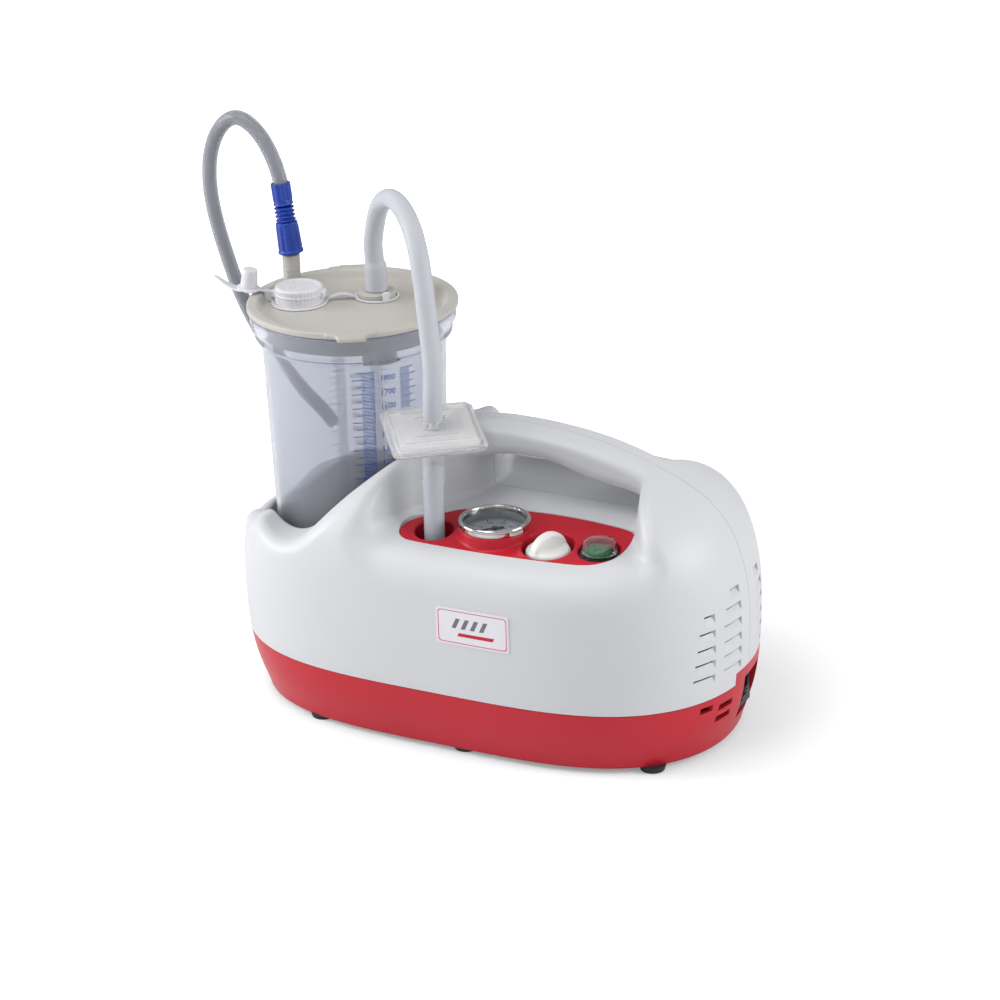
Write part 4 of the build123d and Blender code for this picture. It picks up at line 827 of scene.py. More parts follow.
def housing_shell():
    """Outer and inner skin of the whole housing, cut off at the covers' lower edge."""
    V, Q = surface_nets(housing_field, (-185.0, -110.0, 40.0), (185.0, 110.0, 208.0),
                        1.6)
    V = relax(V, Q, housing_field, level=0.0, rounds=3, strength=0.5)
    V2, Q2 = surface_nets(housing_field, (-184.0, -109.0, 40.0), (184.0, 109.0, 206.0), 4.0,
                          level=-WALL)
    V2 = relax(V2, Q2, housing_field, level=-WALL, rounds=2, strength=0.5)
    faces = np.concatenate([Q, Q2[:, ::-1] + len(V)]).tolist()
    me = raw_mesh("shell", np.concatenate([V, V2]), faces)
    bm = bmesh.new()
    bm.from_mesh(me)
    cut_fill(bm, metres(0, 0, COVER_LOW), DOWN)
    bm.to_mesh(me)
    bm.free()
    return me


def build_cover(shell, name, node, side, notch_y):
    """Half of the shell; side is -1 for the front and 1 for the rear."""
    bm = bmesh.new()
    bm.from_mesh(shell)
    cut_fill(bm, metres(0, side * SEAM, 0), (0, -side, 0))
    ob = from_bmesh(bm, name)
    cuts = bmesh.new()
    for y0, y1, z in VENTS:
        louvre(cuts, *sorted((-side * y0, -side * y1)), z)
    if side < 0:
        prism(cuts, [tuple(p) for p in grown(PANEL, PANEL_GAP)],
              lambda x, y: panel_z(y) - 9, lambda x, y: panel_z(y) + 9)
    box_into(cuts, (NOTCH_X[0], notch_y[0], NOTCH_Z[0]), (NOTCH_X[1], notch_y[1], NOTCH_Z[1]))
    cutter = from_bmesh(cuts, "cutter")
    subtract(ob, cutter)
    bpy.data.objects.remove(cutter)
    shade_smooth(ob.data, sharp=42)
    replace_piece(ob, node, "housing_grey")


shell = housing_shell()
build_cover(shell, "cover_front_skin", "front_cover", side=-1, notch_y=(-18.3, 5))
build_cover(shell, "cover_rear_skin", "rear_cover", side=1, notch_y=(-5, 31.3))

# ---------------------------------------------------------------------------
# control panel with the pedestal of the gauge and three wells
# ---------------------------------------------------------------------------
PANEL_THICK = 4.4
# centre, radius, floor height, radius of the hole in the floor
WELLS = ((PORT, 12.8, 118.0, 6.1), (KNOB, 17.0, 136.0, 4.0), (SWITCH, 13.7, 142.0, 10.6))
WELL_WALL = 1.8
GAUGE_HOLE = 20.6
GRID = 0.7                      # spacing of the table of distances to the outline


def outline_table():
    """Signed distance to the panel outline on a grid in plan."""
    xs = np.arange(-46.0, 126.0, GRID)
    ys = np.arange(-92.0, -14.0, GRID)
    X, Y = np.meshgrid(xs, ys, indexing="ij")
    p = np.stack([X, Y], -1).reshape(-1, 2)
    best = np.full(len(p), 1e9)
    inside = np.zeros(len(p), bool)
    for a, b in zip(PANEL, np.roll(PANEL, -1, 0)):
        ab = b - a
        t = np.clip(((p - a) @ ab) / (ab @ ab), 0, 1)
        best = np.minimum(best, np.linalg.norm(p - a - t[:, None] * ab, axis=1))
        spans = (a[1] > p[:, 1]) != (b[1] > p[:, 1])
        with np.errstate(divide="ignore", invalid="ignore"):
            cross_x = (b[0] - a[0]) * (p[:, 1] - a[1]) / (b[1] - a[1]) + a[0]
        inside ^= spans & (p[:, 0] < cross_x)
    return xs, ys, np.where(inside, -best, best).reshape(X.shape)


grid_x, grid_y, grid_d = outline_table()


def outline_distance(x, y):
    i = np.clip((x - grid_x[0]) / GRID, 0, len(grid_x) - 1.001)
    j = np.clip((y - grid_y[0]) / GRID, 0, len(grid_y) - 1.001)
    a, b = i.astype(int), j.astype(int)
    s, t = i - a, j - b
    return (grid_d[a, b] * (1 - s) * (1 - t) + grid_d[a + 1, b] * s * (1 - t)
            + grid_d[a, b + 1] * (1 - s) * t + grid_d[a + 1, b + 1] * s * t)


def panel_field(x, y, z):
    top = (z - panel_z(y)) / math.sqrt(1 + PANEL_SLOPE**2)
    d = meet(meet(outline_distance(x, y), top, 0.9), -top - PANEL_THICK, 0.4)
    for centre, radius, floor, _ in WELLS:
        sleeve = rod(x, y, z, centre, radius + WELL_WALL, floor - 2, 170, 0.4)
        d = np.minimum(d, meet(sleeve, top + 3.2, 0.4))
    sleeve = meet(disc(x, y, GAUGE, 23.0), top + 3.2, 0.4)
    d = np.minimum(d, meet(sleeve, 136.0 - z, 0.4))
    cone = disc(x, y, GAUGE, 24.6 - (z - 140.0) * 0.112)
    pedestal = meet(meet(cone, z - 150.7, 1.0), 140 - z, 0.4)
    d = join(d, pedestal, 1.8)
    d = meet(d, -disc(x, y, GAUGE, GAUGE_HOLE), 0.5)
    for centre, radius, floor, hole in WELLS:
        d = meet(d, -meet(disc(x, y, centre, radius), floor - z, 0.8), 1.3)
        d = meet(d, -disc(x, y, centre, hole), 0.4)
    return d


replace_piece(field_piece("panel_skin", panel_field, (-40.0, -85.0, 113.0),
                          (119.0, -21.0, 153.0), step=0.75),
              "control_panel", "panel_red")

# ---------------------------------------------------------------------------
# gauge
# ---------------------------------------------------------------------------
BEZEL = [(20.4, 154.5), (20.5, 155.3), (20.9, 155.9), (21.6, 156.25), (22.5, 156.2),
         (23.2, 155.8), (23.6, 155.2), (23.7, 154.5), (23.5, 153.9), (23.15, 153.6),
         (23.1, 153.2), (23.1, 151.6), (22.95, 151.0), (22.65, 150.8), (22.65, 154.5)]
DIAL_START, DIAL_SWEEP = 222, 264       # degrees; the scale runs clockwise
DIAL_STEPS, STEPS_PER_NUMBER = 30, 5
TICK_OUT, TICK_IN, LONG_TICK_IN = 17.4, 15.6, 14.2
TICK_HALF, LONG_TICK_HALF = 0.16, 0.32
ARC_IN, ARC_OUT = 17.7, 18.0
MARK_LOW, MARK_HIGH = 146.79, 146.9
NUMBER_RADIUS, NUMBER_Z = 11.6, 146.84


def dial_angle(step):
    return math.radians(DIAL_START - DIAL_SWEEP * step / DIAL_STEPS)


def tick(angle, r0, r1, half):
    c, s = math.cos(angle), math.sin(angle)
    return [(GAUGE[0] + r * c + w * s, GAUGE[1] + r * s - w * c)
            for r, w in ((r0, half), (r1, half), (r1, -half), (r0, -half))]


def arc(start, end):
    angles = np.linspace(start, end, 16)
    return [(GAUGE[0] + r * math.cos(a), GAUGE[1] + r * math.sin(a))
            for r, run in ((ARC_OUT, angles), (ARC_IN, angles[::-1])) for a in run]


def gauge_scale():
    bm = bmesh.new()
    marks = []
    for i in range(DIAL_STEPS + 1):
        inner, half = ((TICK_IN, TICK_HALF) if i % STEPS_PER_NUMBER
                       else (LONG_TICK_IN, LONG_TICK_HALF))
        marks.append(tick(dial_angle(i), inner, TICK_OUT, half))
    for i in range(0, DIAL_STEPS, STEPS_PER_NUMBER):
        marks.append(arc(dial_angle(i + 0.06), dial_angle(i + 4.94)))
    for outline in marks:
        prism(bm, outline, lambda x, y: MARK_LOW, lambda x, y: MARK_HIGH)
    return from_bmesh(bm, "gauge_scale", sharp=30)


def gauge_numbers():
    chunks = []
    for i in range(DIAL_STEPS // STEPS_PER_NUMBER + 1):
        a = dial_angle(i * STEPS_PER_NUMBER)
        V, F = text_piece(str(-i * 100), size=3.0)
        V += (GAUGE[0] + NUMBER_RADIUS * math.cos(a), GAUGE[1] + NUMBER_RADIUS * math.sin(a),
              NUMBER_Z)
        chunks.append((V, F))
    return wrapped("gauge_numbers", chunks)


replace_piece(lathe("gauge_bezel_ring", BEZEL, (*GAUGE, 0), 128), "gauge_bezel", "chrome")
add_detail(gauge_scale(), "gauge_dial", "ink_dark")
add_detail(gauge_numbers(), "gauge_dial", "ink_dark")

# ---------------------------------------------------------------------------
# knob and switch boot
# ---------------------------------------------------------------------------
KNOB_ANGLE = math.radians(68.0)         # direction of the grip
KNOB_RADIUS, KNOB_LOW, KNOB_TOP = 14.6, 138.6, 143.8
GRIP_HALF_LENGTH, GRIP_HEIGHT, GRIP_HALF_WIDTH = 14.0, 11.6, 4.2
GRIP_Z = 142.6


def knob_field(x, y, z):
    taper = np.maximum(z - 141.6, 0) * 0.35
    d = meet(meet(disc(x, y, KNOB, KNOB_RADIUS) + taper, z - KNOB_TOP, 1.4), KNOB_LOW - z, 0.5)
    u, v = turned(x, y, KNOB, KNOB_ANGLE)
    w = z - GRIP_Z
    arch = (np.sqrt((u / GRIP_HALF_LENGTH) ** 2 + (np.maximum(w, -2) / GRIP_HEIGHT) ** 2)
            - 1) * 11.5
    grip = meet(meet(arch, np.abs(v) - GRIP_HALF_WIDTH + 0.08 * np.maximum(w, 0), 2.2),
                141.0 - z, 0.5)
    d = join(d, grip, 1.6)
    bore = meet(disc(x, y, KNOB, 3.2), z - 144, 0.3)
    return meet(d, -bore, 0.3)


BOOT = [(0, 152.6, 0), (10.2, 152.5, 1.3), (10.6, 147.2, 0.5), (11.4, 146.8, 0.4),
        (11.5, 145.1, 0.2), (9.7, 145.1, 0.2), (9.5, 151.5, 1.0), (0, 151.6, 0)]

replace_piece(field_piece("knob_skin", knob_field, (KNOB[0] - 18, KNOB[1] - 18, 136.5),
                          (KNOB[0] + 18, KNOB[1] + 18, 158.5), step=0.5),
              "regulator_knob", "white_plastic")
replace_piece(lathe("switch_boot_skin", round_outline(BOOT), (*SWITCH, 0), 64),
              "switch_boot", "clear_boot")

# ---------------------------------------------------------------------------
# collecting jar with its printed scales
# ---------------------------------------------------------------------------
# radius, height, corner radius
JAR_PROFILE = [
    (0, 39.5, 0), (0, 37.2, 0), (30, 36.6, 1), (34, 36.0, 1), (53, 36.0, 1.5),
    (56.2, 38.0, 2.5), (56.6, 46, 2), (58.8, 147, 0), (61.4, 236, 3), (62.2, 246.5, 1.5),
    (63.4, 248.6, 1), (66.3, 250.3, 0.8), (66.7, 258.2, 0.6), (68.9, 259.6, 0.6),
    (69.0, 267.1, 0.3), (62.5, 267.1, 0.3), (62.5, 263.9, 0.3), (60.2, 263.9, 0.3),
    (59.8, 247, 2), (59.0, 236, 2), (56.5, 147, 0), (54.1, 44.0, 2), (52.2, 39.6, 2)]
GASKET = [(62.6, 267.15), (62.6, 267.75), (69.5, 267.75), (69.6, 267.6), (69.6, 267.3),
          (69.5, 267.15)]
SCALE_FIRST_ML, SCALE_LAST_ML, SCALE_STEP_ML = 50, 1850, 10
SCALE_Z, MM_PER_ML = 61.8, 0.0997       # height of the first mark, rise of the scale
SCALE_GAP = 9.0                         # half the space left for the numbers


def jar_radius(z):
    return np.interp(z, [46, 147, 236, 246], [56.6, 58.8, 61.4, 62.1])


def jar_scale(name, angle):
    """Marks left and right of the numbers, centred on an angle in degrees."""
    angle = math.radians(angle)

    def on_jar(V):
        z = V[:, 1]
        r = jar_radius(z) + V[:, 2]
        a = angle + V[:, 0] / jar_radius(z)
        return np.stack([JAR_X + r * np.cos(a), r * np.sin(a), z], 1)

    chunks = []
    for ml in range(SCALE_FIRST_ML, SCALE_LAST_ML + 1, SCALE_STEP_ML):
        z = SCALE_Z + (ml - SCALE_FIRST_ML) * MM_PER_ML
        length = 8.6 if ml % 50 else 12.0 if ml % 100 else 15.0
        half = 0.16 if ml % 50 else 0.24
        for u0, u1 in ((-SCALE_GAP - length, -SCALE_GAP), (SCALE_GAP, SCALE_GAP + length * 0.8)):
            chunks.append(strip(u0, u1, z - half, z + half, low=0.02, high=0.14, spacing=2))
        if ml % 100 == 0:
            V, F = text_piece(str(ml), size=5.4)
            V += (0, z, 0.07)
            chunks.append((V, F))
    add_detail(wrapped(name, chunks, on_jar), "jar_body", "ink_blue")


replace_piece(lathe("jar_skin", round_outline(JAR_PROFILE), (*JAR, 0), 160, sharp=40),
              "jar_body", "jar_clear")
replace_piece(lathe("gasket_ring", GASKET, (*JAR, 0), 160), "lid_gasket", "gasket_violet")
jar_scale("jar_scale_front", -41.2)
jar_scale("jar_scale_rear", 118.0)

# ---------------------------------------------------------------------------
# lid
# ---------------------------------------------------------------------------
LID_RADIUS, LID_LOW, LID_TOP = 70.6, 267.8, 272.0
TAB_ANGLES = (-62.0, 118.0)
TRAY_RADIUS, TRAY_Z = 60.2, 266.0
FOOT = 264.6                    # lower end of everything that stands on the tray
# cap neck, suction boss and suction nozzle: centre, radius, top, edge radius, fillet
LID_RODS = ((CAP, 14.0, 271.5, 0.5, 0.8), (SUCTION, 12.7, 270.6, 0.8, 0.8),
            (SUCTION, 4.4, 282.0, 0.5, 0.6))
# bores: centre, radius
LID_BORES = ((CAP, 12.0), (SUCTION, 2.8), ((SPIGOT[0] + 1, SPIGOT[1]), 1.9))


def lid_field(x, y, z):
    r = np.hypot(x - JAR_X, y)
    d = meet(meet(r - LID_RADIUS, z - LID_TOP, 1.4), LID_LOW - z, 0.5)
    d = join(d, meet(r - 62.4, np.abs(z - 267.6) - 3.2, 0.3), 0.5)
    # flared tabs on the rim
    for angle in TAB_ANGLES:
        u, v = turned(x, y, JAR, math.radians(angle))
        flare = 7.5 * np.clip((74.6 - u) / 4.6, 0, 1) ** 2
        plan = meet(np.abs(v) - 9.6 - flare, u - 77.4, 1.8)
        droop = np.maximum(u - 71, 0) * 0.18
        slab = meet(z - LID_TOP + droop, 269.2 - z - droop, 0.8)
        d = join(d, meet(meet(plan, 64.5 - u, 0.5), slab, 0.8), 0.7)
    tray = meet(r - TRAY_RADIUS - (z - TRAY_Z) * 0.55, TRAY_Z - z, 0.8)
    d = meet(d, -tray, 1.3)
    for centre, radius, top, edge, fillet in LID_RODS:
        d = join(d, rod(x, y, z, centre, radius, FOOT, top, edge), fillet)
    # ridged spigot with its nozzle
    ridges = 0.12 * np.cos((z - TRAY_Z) * 2 * math.pi / 3.2)
    d = join(d, rod(x, y, z, SPIGOT, 5.95, FOOT, 292.0, 0.6) - ridges, 0.8)
    d = join(d, rod(x, y, z, SPIGOT, 3.4, 290.0, 300.0, 0.4), 0.4)
    # skirt and drip spout below the lid
    skirt = meet(np.abs(r - 58.2) - 1.0, meet(253.0 - z, z - 266, 0.3), 0.3)
    d = np.minimum(d, skirt)
    spout = (SPIGOT[0] + 3.2, SPIGOT[1])
    d = np.minimum(d, rod(x, y, z, spout, 4.6, 246.0, 266.0, 0.4))
    for centre, radius in LID_BORES:
        d = meet(d, -disc(x, y, centre, radius), 0.4)
    return d


replace_piece(field_piece("lid_skin", lid_field, (JAR_X - 80, -79, 244.5),
                          (JAR_X + 80, 79, 301.5), step=0.8),
              "jar_lid", "ivory_plastic")

# ---------------------------------------------------------------------------
# cap on the lid
# ---------------------------------------------------------------------------
CAP_RADIUS, CAP_LOW, CAP_TOP = 16.2, 266.1, 278.5
CAP_LUGS = (200, 10, 28)        # degrees


def cap_field(x, y, z):
    r = disc(x, y, CAP, 0.0)
    fluted = CAP_RADIUS + 0.14 * np.cos(40 * np.arctan2(y - CAP[1], x - CAP[0]))
    d = meet(r - fluted + (z - 266.0) * 0.02, z - CAP_TOP, 1.5)
    # rims at the foot and at mid height
    d = join(d, meet(r - 16.45, z - 267.9, 0.4), 0.5)
    d = join(d, meet(r - 16.5, np.abs(z - 273.4) - 0.5, 0.3), 0.4)
    for angle in CAP_LUGS:
        u, v = turned(x, y, CAP, math.radians(angle))
        plan = meet(np.abs(v) - 2.6, np.abs(u - 16.0) - 2.2, 0.6)
        d = join(d, meet(plan, np.abs(z - 273.0) - 2.4, 0.6), 0.6)
    dish = meet(r - 12.2, 277.7 - z, 0.6)
    d = meet(d, -dish, 0.8)
    d = meet(d, CAP_LOW - z, 0.3)
    hollow = meet(r - 14.08, z - 276.4, 0.3)
    return meet(d, -hollow, 0.3)


replace_piece(field_piece("cap_skin", cap_field, (CAP[0] - 20, CAP[1] - 20, 265.0),
                          (CAP[0] + 20, CAP[1] + 20, 280.0), step=0.55),
              "lid_cap", "translucent_white")

# ---------------------------------------------------------------------------
# strap between cap and suction boss, with the stopper
# ---------------------------------------------------------------------------
STRAP_Z, STRAP_HALF = 266.75, 0.65
STRAP_LOW = 266.1
TETHER_START = (-160.6, -9.2)
# pull past the stopper, rising outward: x, z, half width
PULL = ((STOPPER[0] - 4, 273.6, 4.6), (-186.0, 273.9, 3.4), (-193.0, 276.4, 2.4),
        (-201.0, 281.0, 0.9))
STOPPER_Z, STOPPER_TILT = 274.2, math.radians(9.0)
STOPPER_PROFILE = [
    (0, 14.6, 0), (4.9, 14.6, 0.8), (5.5, 8, 0.4), (5.9, 2.2, 0.5), (7.9, 1.5, 0.3),
    (8.1, 0.9, 0.2), (7.6, 0.4, 0.2), (3.6, 0.4, 0.2), (3.6, 12.4, 0.6), (0, 12.7, 0)]


def toward(a, b, distance):
    """Point at a distance from a on the way to b, in plan."""
    ux, uy = b[0] - a[0], b[1] - a[1]
    length = math.hypot(ux, uy)
    return a[0] + ux * distance / length, a[1] + uy * distance / length


def strap_field(x, y, z):
    slab = np.abs(z - STRAP_Z) - STRAP_HALF
    r = disc(x, y, CAP, 0.0)
    d = meet(np.maximum(r - 18.9, 16.6 - r), slab, 0.3)
    r = disc(x, y, SUCTION, 0.0)
    d = np.minimum(d, meet(np.maximum(r - 15.2, 13.3 - r), slab, 0.3))
    # arched bar between both rings
    s, t = segment(x, y, toward(CAP, SUCTION, 17.8), toward(SUCTION, CAP, 14.2))
    arch_z = STRAP_Z + 3.2 * 4 * t * (1 - t)
    d = join(d, meet(s - 2.0, np.abs(z - arch_z) - STRAP_HALF, 0.3), 0.4)
    # small upright tab on the ring of the suction boss
    angle = math.radians(-38.0)
    tab_at = (SUCTION[0] + 15.0 * math.cos(angle), SUCTION[1] + 15.0 * math.sin(angle))
    u, v = turned(x, y, tab_at, angle)
    plan = meet(np.abs(u) - 0.7, np.abs(v) - 2.2, 0.3)
    d = join(d, meet(plan, meet(z - 273.5, 266.2 - z, 0.5), 0.3), 0.4)
    # tether up over the rim and out to the stopper
    s, _ = segment(x, y, TETHER_START, toward(TETHER_START, STOPPER, 3.0))
    d = join(d, meet(s - 1.7, meet(z - 274.0, STRAP_LOW - z, 0.4), 0.4), 0.5)
    s, _ = segment(x, y, toward(TETHER_START, STOPPER, 2), STOPPER)
    d = join(d, meet(s - 1.9, np.abs(z - 273.6) - 0.6, 0.3), 0.5)
    for (x0, z0, w0), (x1, z1, w1) in zip(PULL, PULL[1:]):
        s, t = segment(x, z, (x0, z0), (x1, z1))
        d = join(d, meet(s - 0.62, np.abs(y - STOPPER[1]) - (w0 + (w1 - w0) * t), 0.4), 0.4)
    return d


replace_piece(field_piece("strap_skin", strap_field, (-203.0, -27.0, 264.5),
                          (-82.0, 43.0, 283.5), step=0.5),
              "cap_strap", "translucent_white")
add_detail(lathe("stopper", round_outline(STOPPER_PROFILE), (*STOPPER, STOPPER_Z), 48,
                 axis=(math.sin(STOPPER_TILT), 0, math.cos(STOPPER_TILT))),
           "cap_strap", "translucent_white")

# ---------------------------------------------------------------------------
# patient connector, modelled upright from its lower end
# ---------------------------------------------------------------------------
CONNECTOR = np.array([SPIGOT[0] + 0.3, SPIGOT[1], 293.2])
CONNECTOR_AXIS = np.array([-5.9, 0, 51.0])
CONNECTOR_AXIS /= np.linalg.norm(CONNECTOR_AXIS)


def flutes(angle, count):
    return np.clip(np.cos(count * angle) * 2.2, -1, 1)


def connector_field(x, y, z):
    r = np.hypot(x, y)
    a = np.arctan2(y, x)
    # fluted sleeve with a collar at its foot
    flute = (0.28 * flutes(a, 11) * np.clip((z - 2.4) / 1.5, 0, 1)
             * np.clip((20.0 - z) / 2.0, 0, 1))
    sleeve = meet(r - 8.0 + z * 0.032 - flute, np.abs(z - 10.75) - 10.75, 0.8)
    d = join(sleeve, meet(r - 8.55, np.abs(z - 1.0) - 1.0, 0.5), 0.6)
    # ringed middle and ribbed upper end
    ring = 0.85 * np.cos((z - 23.0) * 2 * math.pi / 2.75)
    d = join(d, meet(r - 6.0 - ring, np.abs(z - 28.0) - 7.0, 0.4), 0.3)
    rib = 0.3 * flutes(a, 9) * np.clip((z - 36.0) / 1.2, 0, 1)
    d = join(d, meet(r - 6.4 - rib, np.abs(z - 41.3) - 7.2, 0.5), 0.3)
    # lower and upper bore
    d = meet(d, -meet(r - 4.3, z - 35, 0.2), 0.3)
    return meet(d, -meet(r - 5.12, 32 - z, 0.2), 0.3)


replace_piece(field_piece("connector_skin", connector_field, (-9.5, -9.5, -1.5),
                          (9.5, 9.5, 52.5), step=0.42, origin=CONNECTOR,
                          axis=CONNECTOR_AXIS, side=(math.cos(0.5), math.sin(0.5), 0)),
              "patient_connector", "blue_plastic")

# ---------------------------------------------------------------------------
# hoses: points on the centre line
# ---------------------------------------------------------------------------
HOSE_BORE = 4.62


def on_filter(h):
    return FILTER + h * FILTER_AXIS


def on_connector(h):
    return CONNECTOR + h * CONNECTOR_AXIS


def suction_hose_radius(s):
    """Thicker at the end over the suction boss."""
    return 6.4 + 1.1 * max(0.0, min(1.0, (s - 0.925) / 0.012))


SUCTION_HOSE = [
    on_filter(8.8), on_filter(19.0), (-13.0, -61.3, 254.0), (-17.0, -57.2, 280.0),
    (-21.4, -52.8, 302.5), (-27.2, -47.2, 324.0), (-36.5, -38.0, 339.0),
    (-52.0, -22.6, 347.4), (-69.5, -5.4, 346.4), (-86.0, 11.0, 334.0), (-95.0, 20.0, 317.0),
    (-99.2, 24.2, 301.0), (*SUCTION, 284.0), (*SUCTION, 271.2)]
PORT_HOSE = [
    on_filter(-9.4), on_filter(-19.0), (-16.6, -59.2, 172.0), (-15.2, -62.4, 152.0),
    (*PORT, 137.6), (*PORT, 120.3)]
TAIL = np.array([0.3, 0.5, -0.8])       # direction of the free end of the patient tube
TAIL /= np.linalg.norm(TAIL)
TAIL_START = np.array([-168.0, 61.0, 164.0])
PATIENT_TUBE = [
    on_connector(33.6), on_connector(43.0), on_connector(52.0), (-171.5, 17.0, 363.0),
    (-183.0, 18.5, 376.5), (-198.0, 20.0, 381.8), (-214.5, 22.0, 368.5),
    (-222.8, 23.0, 342.0), (-220.8, 23.6, 310.0), (-212.5, 24.6, 277.0),
    (-204.4, 26.0, 252.0), (-190.0, 33.5, 216.0), (-175.5, 50.0, 180.0),
    TAIL_START, TAIL_START + TAIL * 16.0]

path = spline_points(SUCTION_HOSE, FILTER_AXIS, DOWN, 220)
replace_piece(tube("suction_hose_skin", path, suction_hose_radius, HOSE_BORE, 40),
              "suction_hose", "silicone")
path = spline_points(PORT_HOSE, -FILTER_AXIS, DOWN, 80)
replace_piece(tube("port_hose_skin", path, lambda s: 6.8, HOSE_BORE, 40),
              "port_hose", "silicone")
path = spline_points(PATIENT_TUBE, CONNECTOR_AXIS, TAIL, 240)
replace_piece(tube("patient_tube_skin", path, lambda s: 5.0, 3.3, 32),
              "patient_tube", "tube_smoke")

# ---------------------------------------------------------------------------
# filter: two clear square dishes with ribs, a rim and stubs
# ---------------------------------------------------------------------------
def dish_field(x, y, z):
    """Upper dish, with the joint of both dishes at z = 0."""
    rim = meet(rounded_rect(x, y, 30.75, 30.75, 4.0), np.abs(z - 0.85) - 0.75, 0.4)
    k = np.maximum(np.abs(x), np.abs(y))
    ribs = 0.22 * np.clip(np.cos((k - 5.0) * 2 * math.pi / 7.6) * 3, -1, 1)
    height = 4.4 + np.where(k > 27.0, 0, ribs)
    dome = meet(rounded_rect(x, y, 28.2, 28.2, 4.0), z - height, 1.3)
    d = join(rim, meet(dome, 0.1 - z, 0.2), 0.6)
    r = np.hypot(x, y)
    for radius, top, edge, fillet in ((8.2, 8.4, 0.7, 0.8), (4.4, 18.0, 0.5, 0.5)):
        stub = meet(meet(r - radius, z - top, edge), 1.0 - z, 0.2)
        d = join(d, stub, fillet)
    inside = meet(rounded_rect(x, y, 26.4, 26.4, 3.0), z - 3.2, 0.6)
    d = meet(d, -meet(inside, -0.5 - z, 0.2), 0.4)
    return meet(d, 2.6 - r, 0.3)


def lower_dish_field(x, y, z):
    return dish_field(x, y, -z)


for name, node, field, low, high in (
        ("filter_top_skin", "filter_upper", dish_field, -0.8, 19.2),
        ("filter_bottom_skin", "filter_lower", lower_dish_field, -19.2, 0.8)):
    replace_piece(field_piece(name, field, (-32, -32, low), (32, 32, high), step=0.5,
                              rounds=1, origin=FILTER, axis=FILTER_AXIS,
                              side=FILTER_SIDE),
                  node, "clear_plastic")

# cuff round the port hose below the filter: radius, height, corner radius
CUFF = [(6.85, -36, 0.3), (7.6, -36, 0.4), (7.6, -34.4, 0.4), (7.2, -34.0, 0.2),
        (7.2, -20.0, 0.3), (7.7, -19.6, 0.3), (7.9, -12.4, 0.4), (7.2, -11.6, 0.3),
        (6.85, -11.6, 0.2)]
add_detail(lathe("filter_cuff", round_outline(CUFF), FILTER, 48, axis=FILTER_AXIS),
           "port_hose", "clear_plastic")

# ---------------------------------------------------------------------------
# badge on the front: a border and plain marks that follow the curve of the hull
# ---------------------------------------------------------------------------
BADGE = (32.5, 99.75)           # x, z of its centre
BORDER_HALF_X, BORDER_HALF_Z, BORDER_WIDTH, BORDER_CORNER = 24.2, 11.4, 0.55, 2.2
BADGE_STAND_OFF = 0.58          # from the hull to the back of the print
PRINT_THICK = 0.08
MARK_X, MARK_PITCH, MARK_WIDTH = 18.0, 6.5, 3.0


def on_front(V):
    x, z = V[:, 0], V[:, 1]
    y = -half_width(z) * (1 - (np.abs(x) / half_length(z)) ** POWER_X) ** (1 / POWER_Y)
    return np.stack([x, y - BADGE_STAND_OFF - V[:, 2], z], 1)


def border():
    """Closed rounded frame as (V, F)."""
    cx, cz = BADGE
    r = BORDER_CORNER
    corners = []
    for side_x, side_z, start in ((1, 1, 0), (-1, 1, 90), (-1, -1, 180), (1, -1, 270)):
        for k in range(7):
            a = math.radians(start + 15 * k)
            corners.append((cx + side_x * (BORDER_HALF_X - r) + r * math.cos(a),
                            cz + side_z * (BORDER_HALF_Z - r) + r * math.sin(a)))
    # the straight runs get points too, so the frame can bend
    outer = []
    for p, q in zip(corners, corners[1:] + corners[:1]):
        outer.append(p)
        parts = int(math.hypot(q[0] - p[0], q[1] - p[1]) / 3)
        for j in range(1, parts):
            outer.append((p[0] + (q[0] - p[0]) * j / parts, p[1] + (q[1] - p[1]) * j / parts))
    shrink_x = (BORDER_HALF_X - BORDER_WIDTH) / BORDER_HALF_X
    shrink_z = (BORDER_HALF_Z - BORDER_WIDTH) / BORDER_HALF_Z
    inner = [(cx + (p[0] - cx) * shrink_x, cz + (p[1] - cz) * shrink_z) for p in outer]
    n = len(outer)
    V = [(*p, t) for t in (0, PRINT_THICK) for p in outer + inner]
    F = []
    for k in range(n):
        j = (k + 1) % n
        F += [[k, n + k, n + j, j], [2 * n + k, 2 * n + j, 3 * n + j, 3 * n + k],
              [k, j, 2 * n + j, 2 * n + k], [n + k, 3 * n + k, 3 * n + j, n + j]]
    return np.array(V, float), F


def slanted(x0, x1, z0, z1, slant):
    return strip(x0, x1, z0, z1, low=0, high=PRINT_THICK, spacing=3, slant=slant)


mark_starts = [MARK_X + MARK_PITCH * i for i in range(4)]
for name, chunks, ink in (
        ("label_border", [border()], "ink_pink"),
        ("label_marks", [slanted(x, x + MARK_WIDTH, 99.0, 106.0, 3.2) for x in mark_starts],
         "ink_grey"),
        ("label_stripe", [slanted(22.0, 47.0, 93.6, 96.0, 1.1)], "ink_red")):
    add_detail(wrapped(name, chunks, on_front), "label_plate", ink)

# ---------------------------------------------------------------------------
# materials of the CAD nodes that stay
# ---------------------------------------------------------------------------
SLOT_OF = {part["node"]: part["material_slot"] for part in frame["record"]["subparts"]}
for node, ob in frame["nodes"].items():
    m = MAT.get(SLOT_OF[node], MAT["black_plastic"])
    if len(ob.material_slots) == 0:
        ob.data.materials.append(m)
    for slot in ob.material_slots:
        slot.material = m


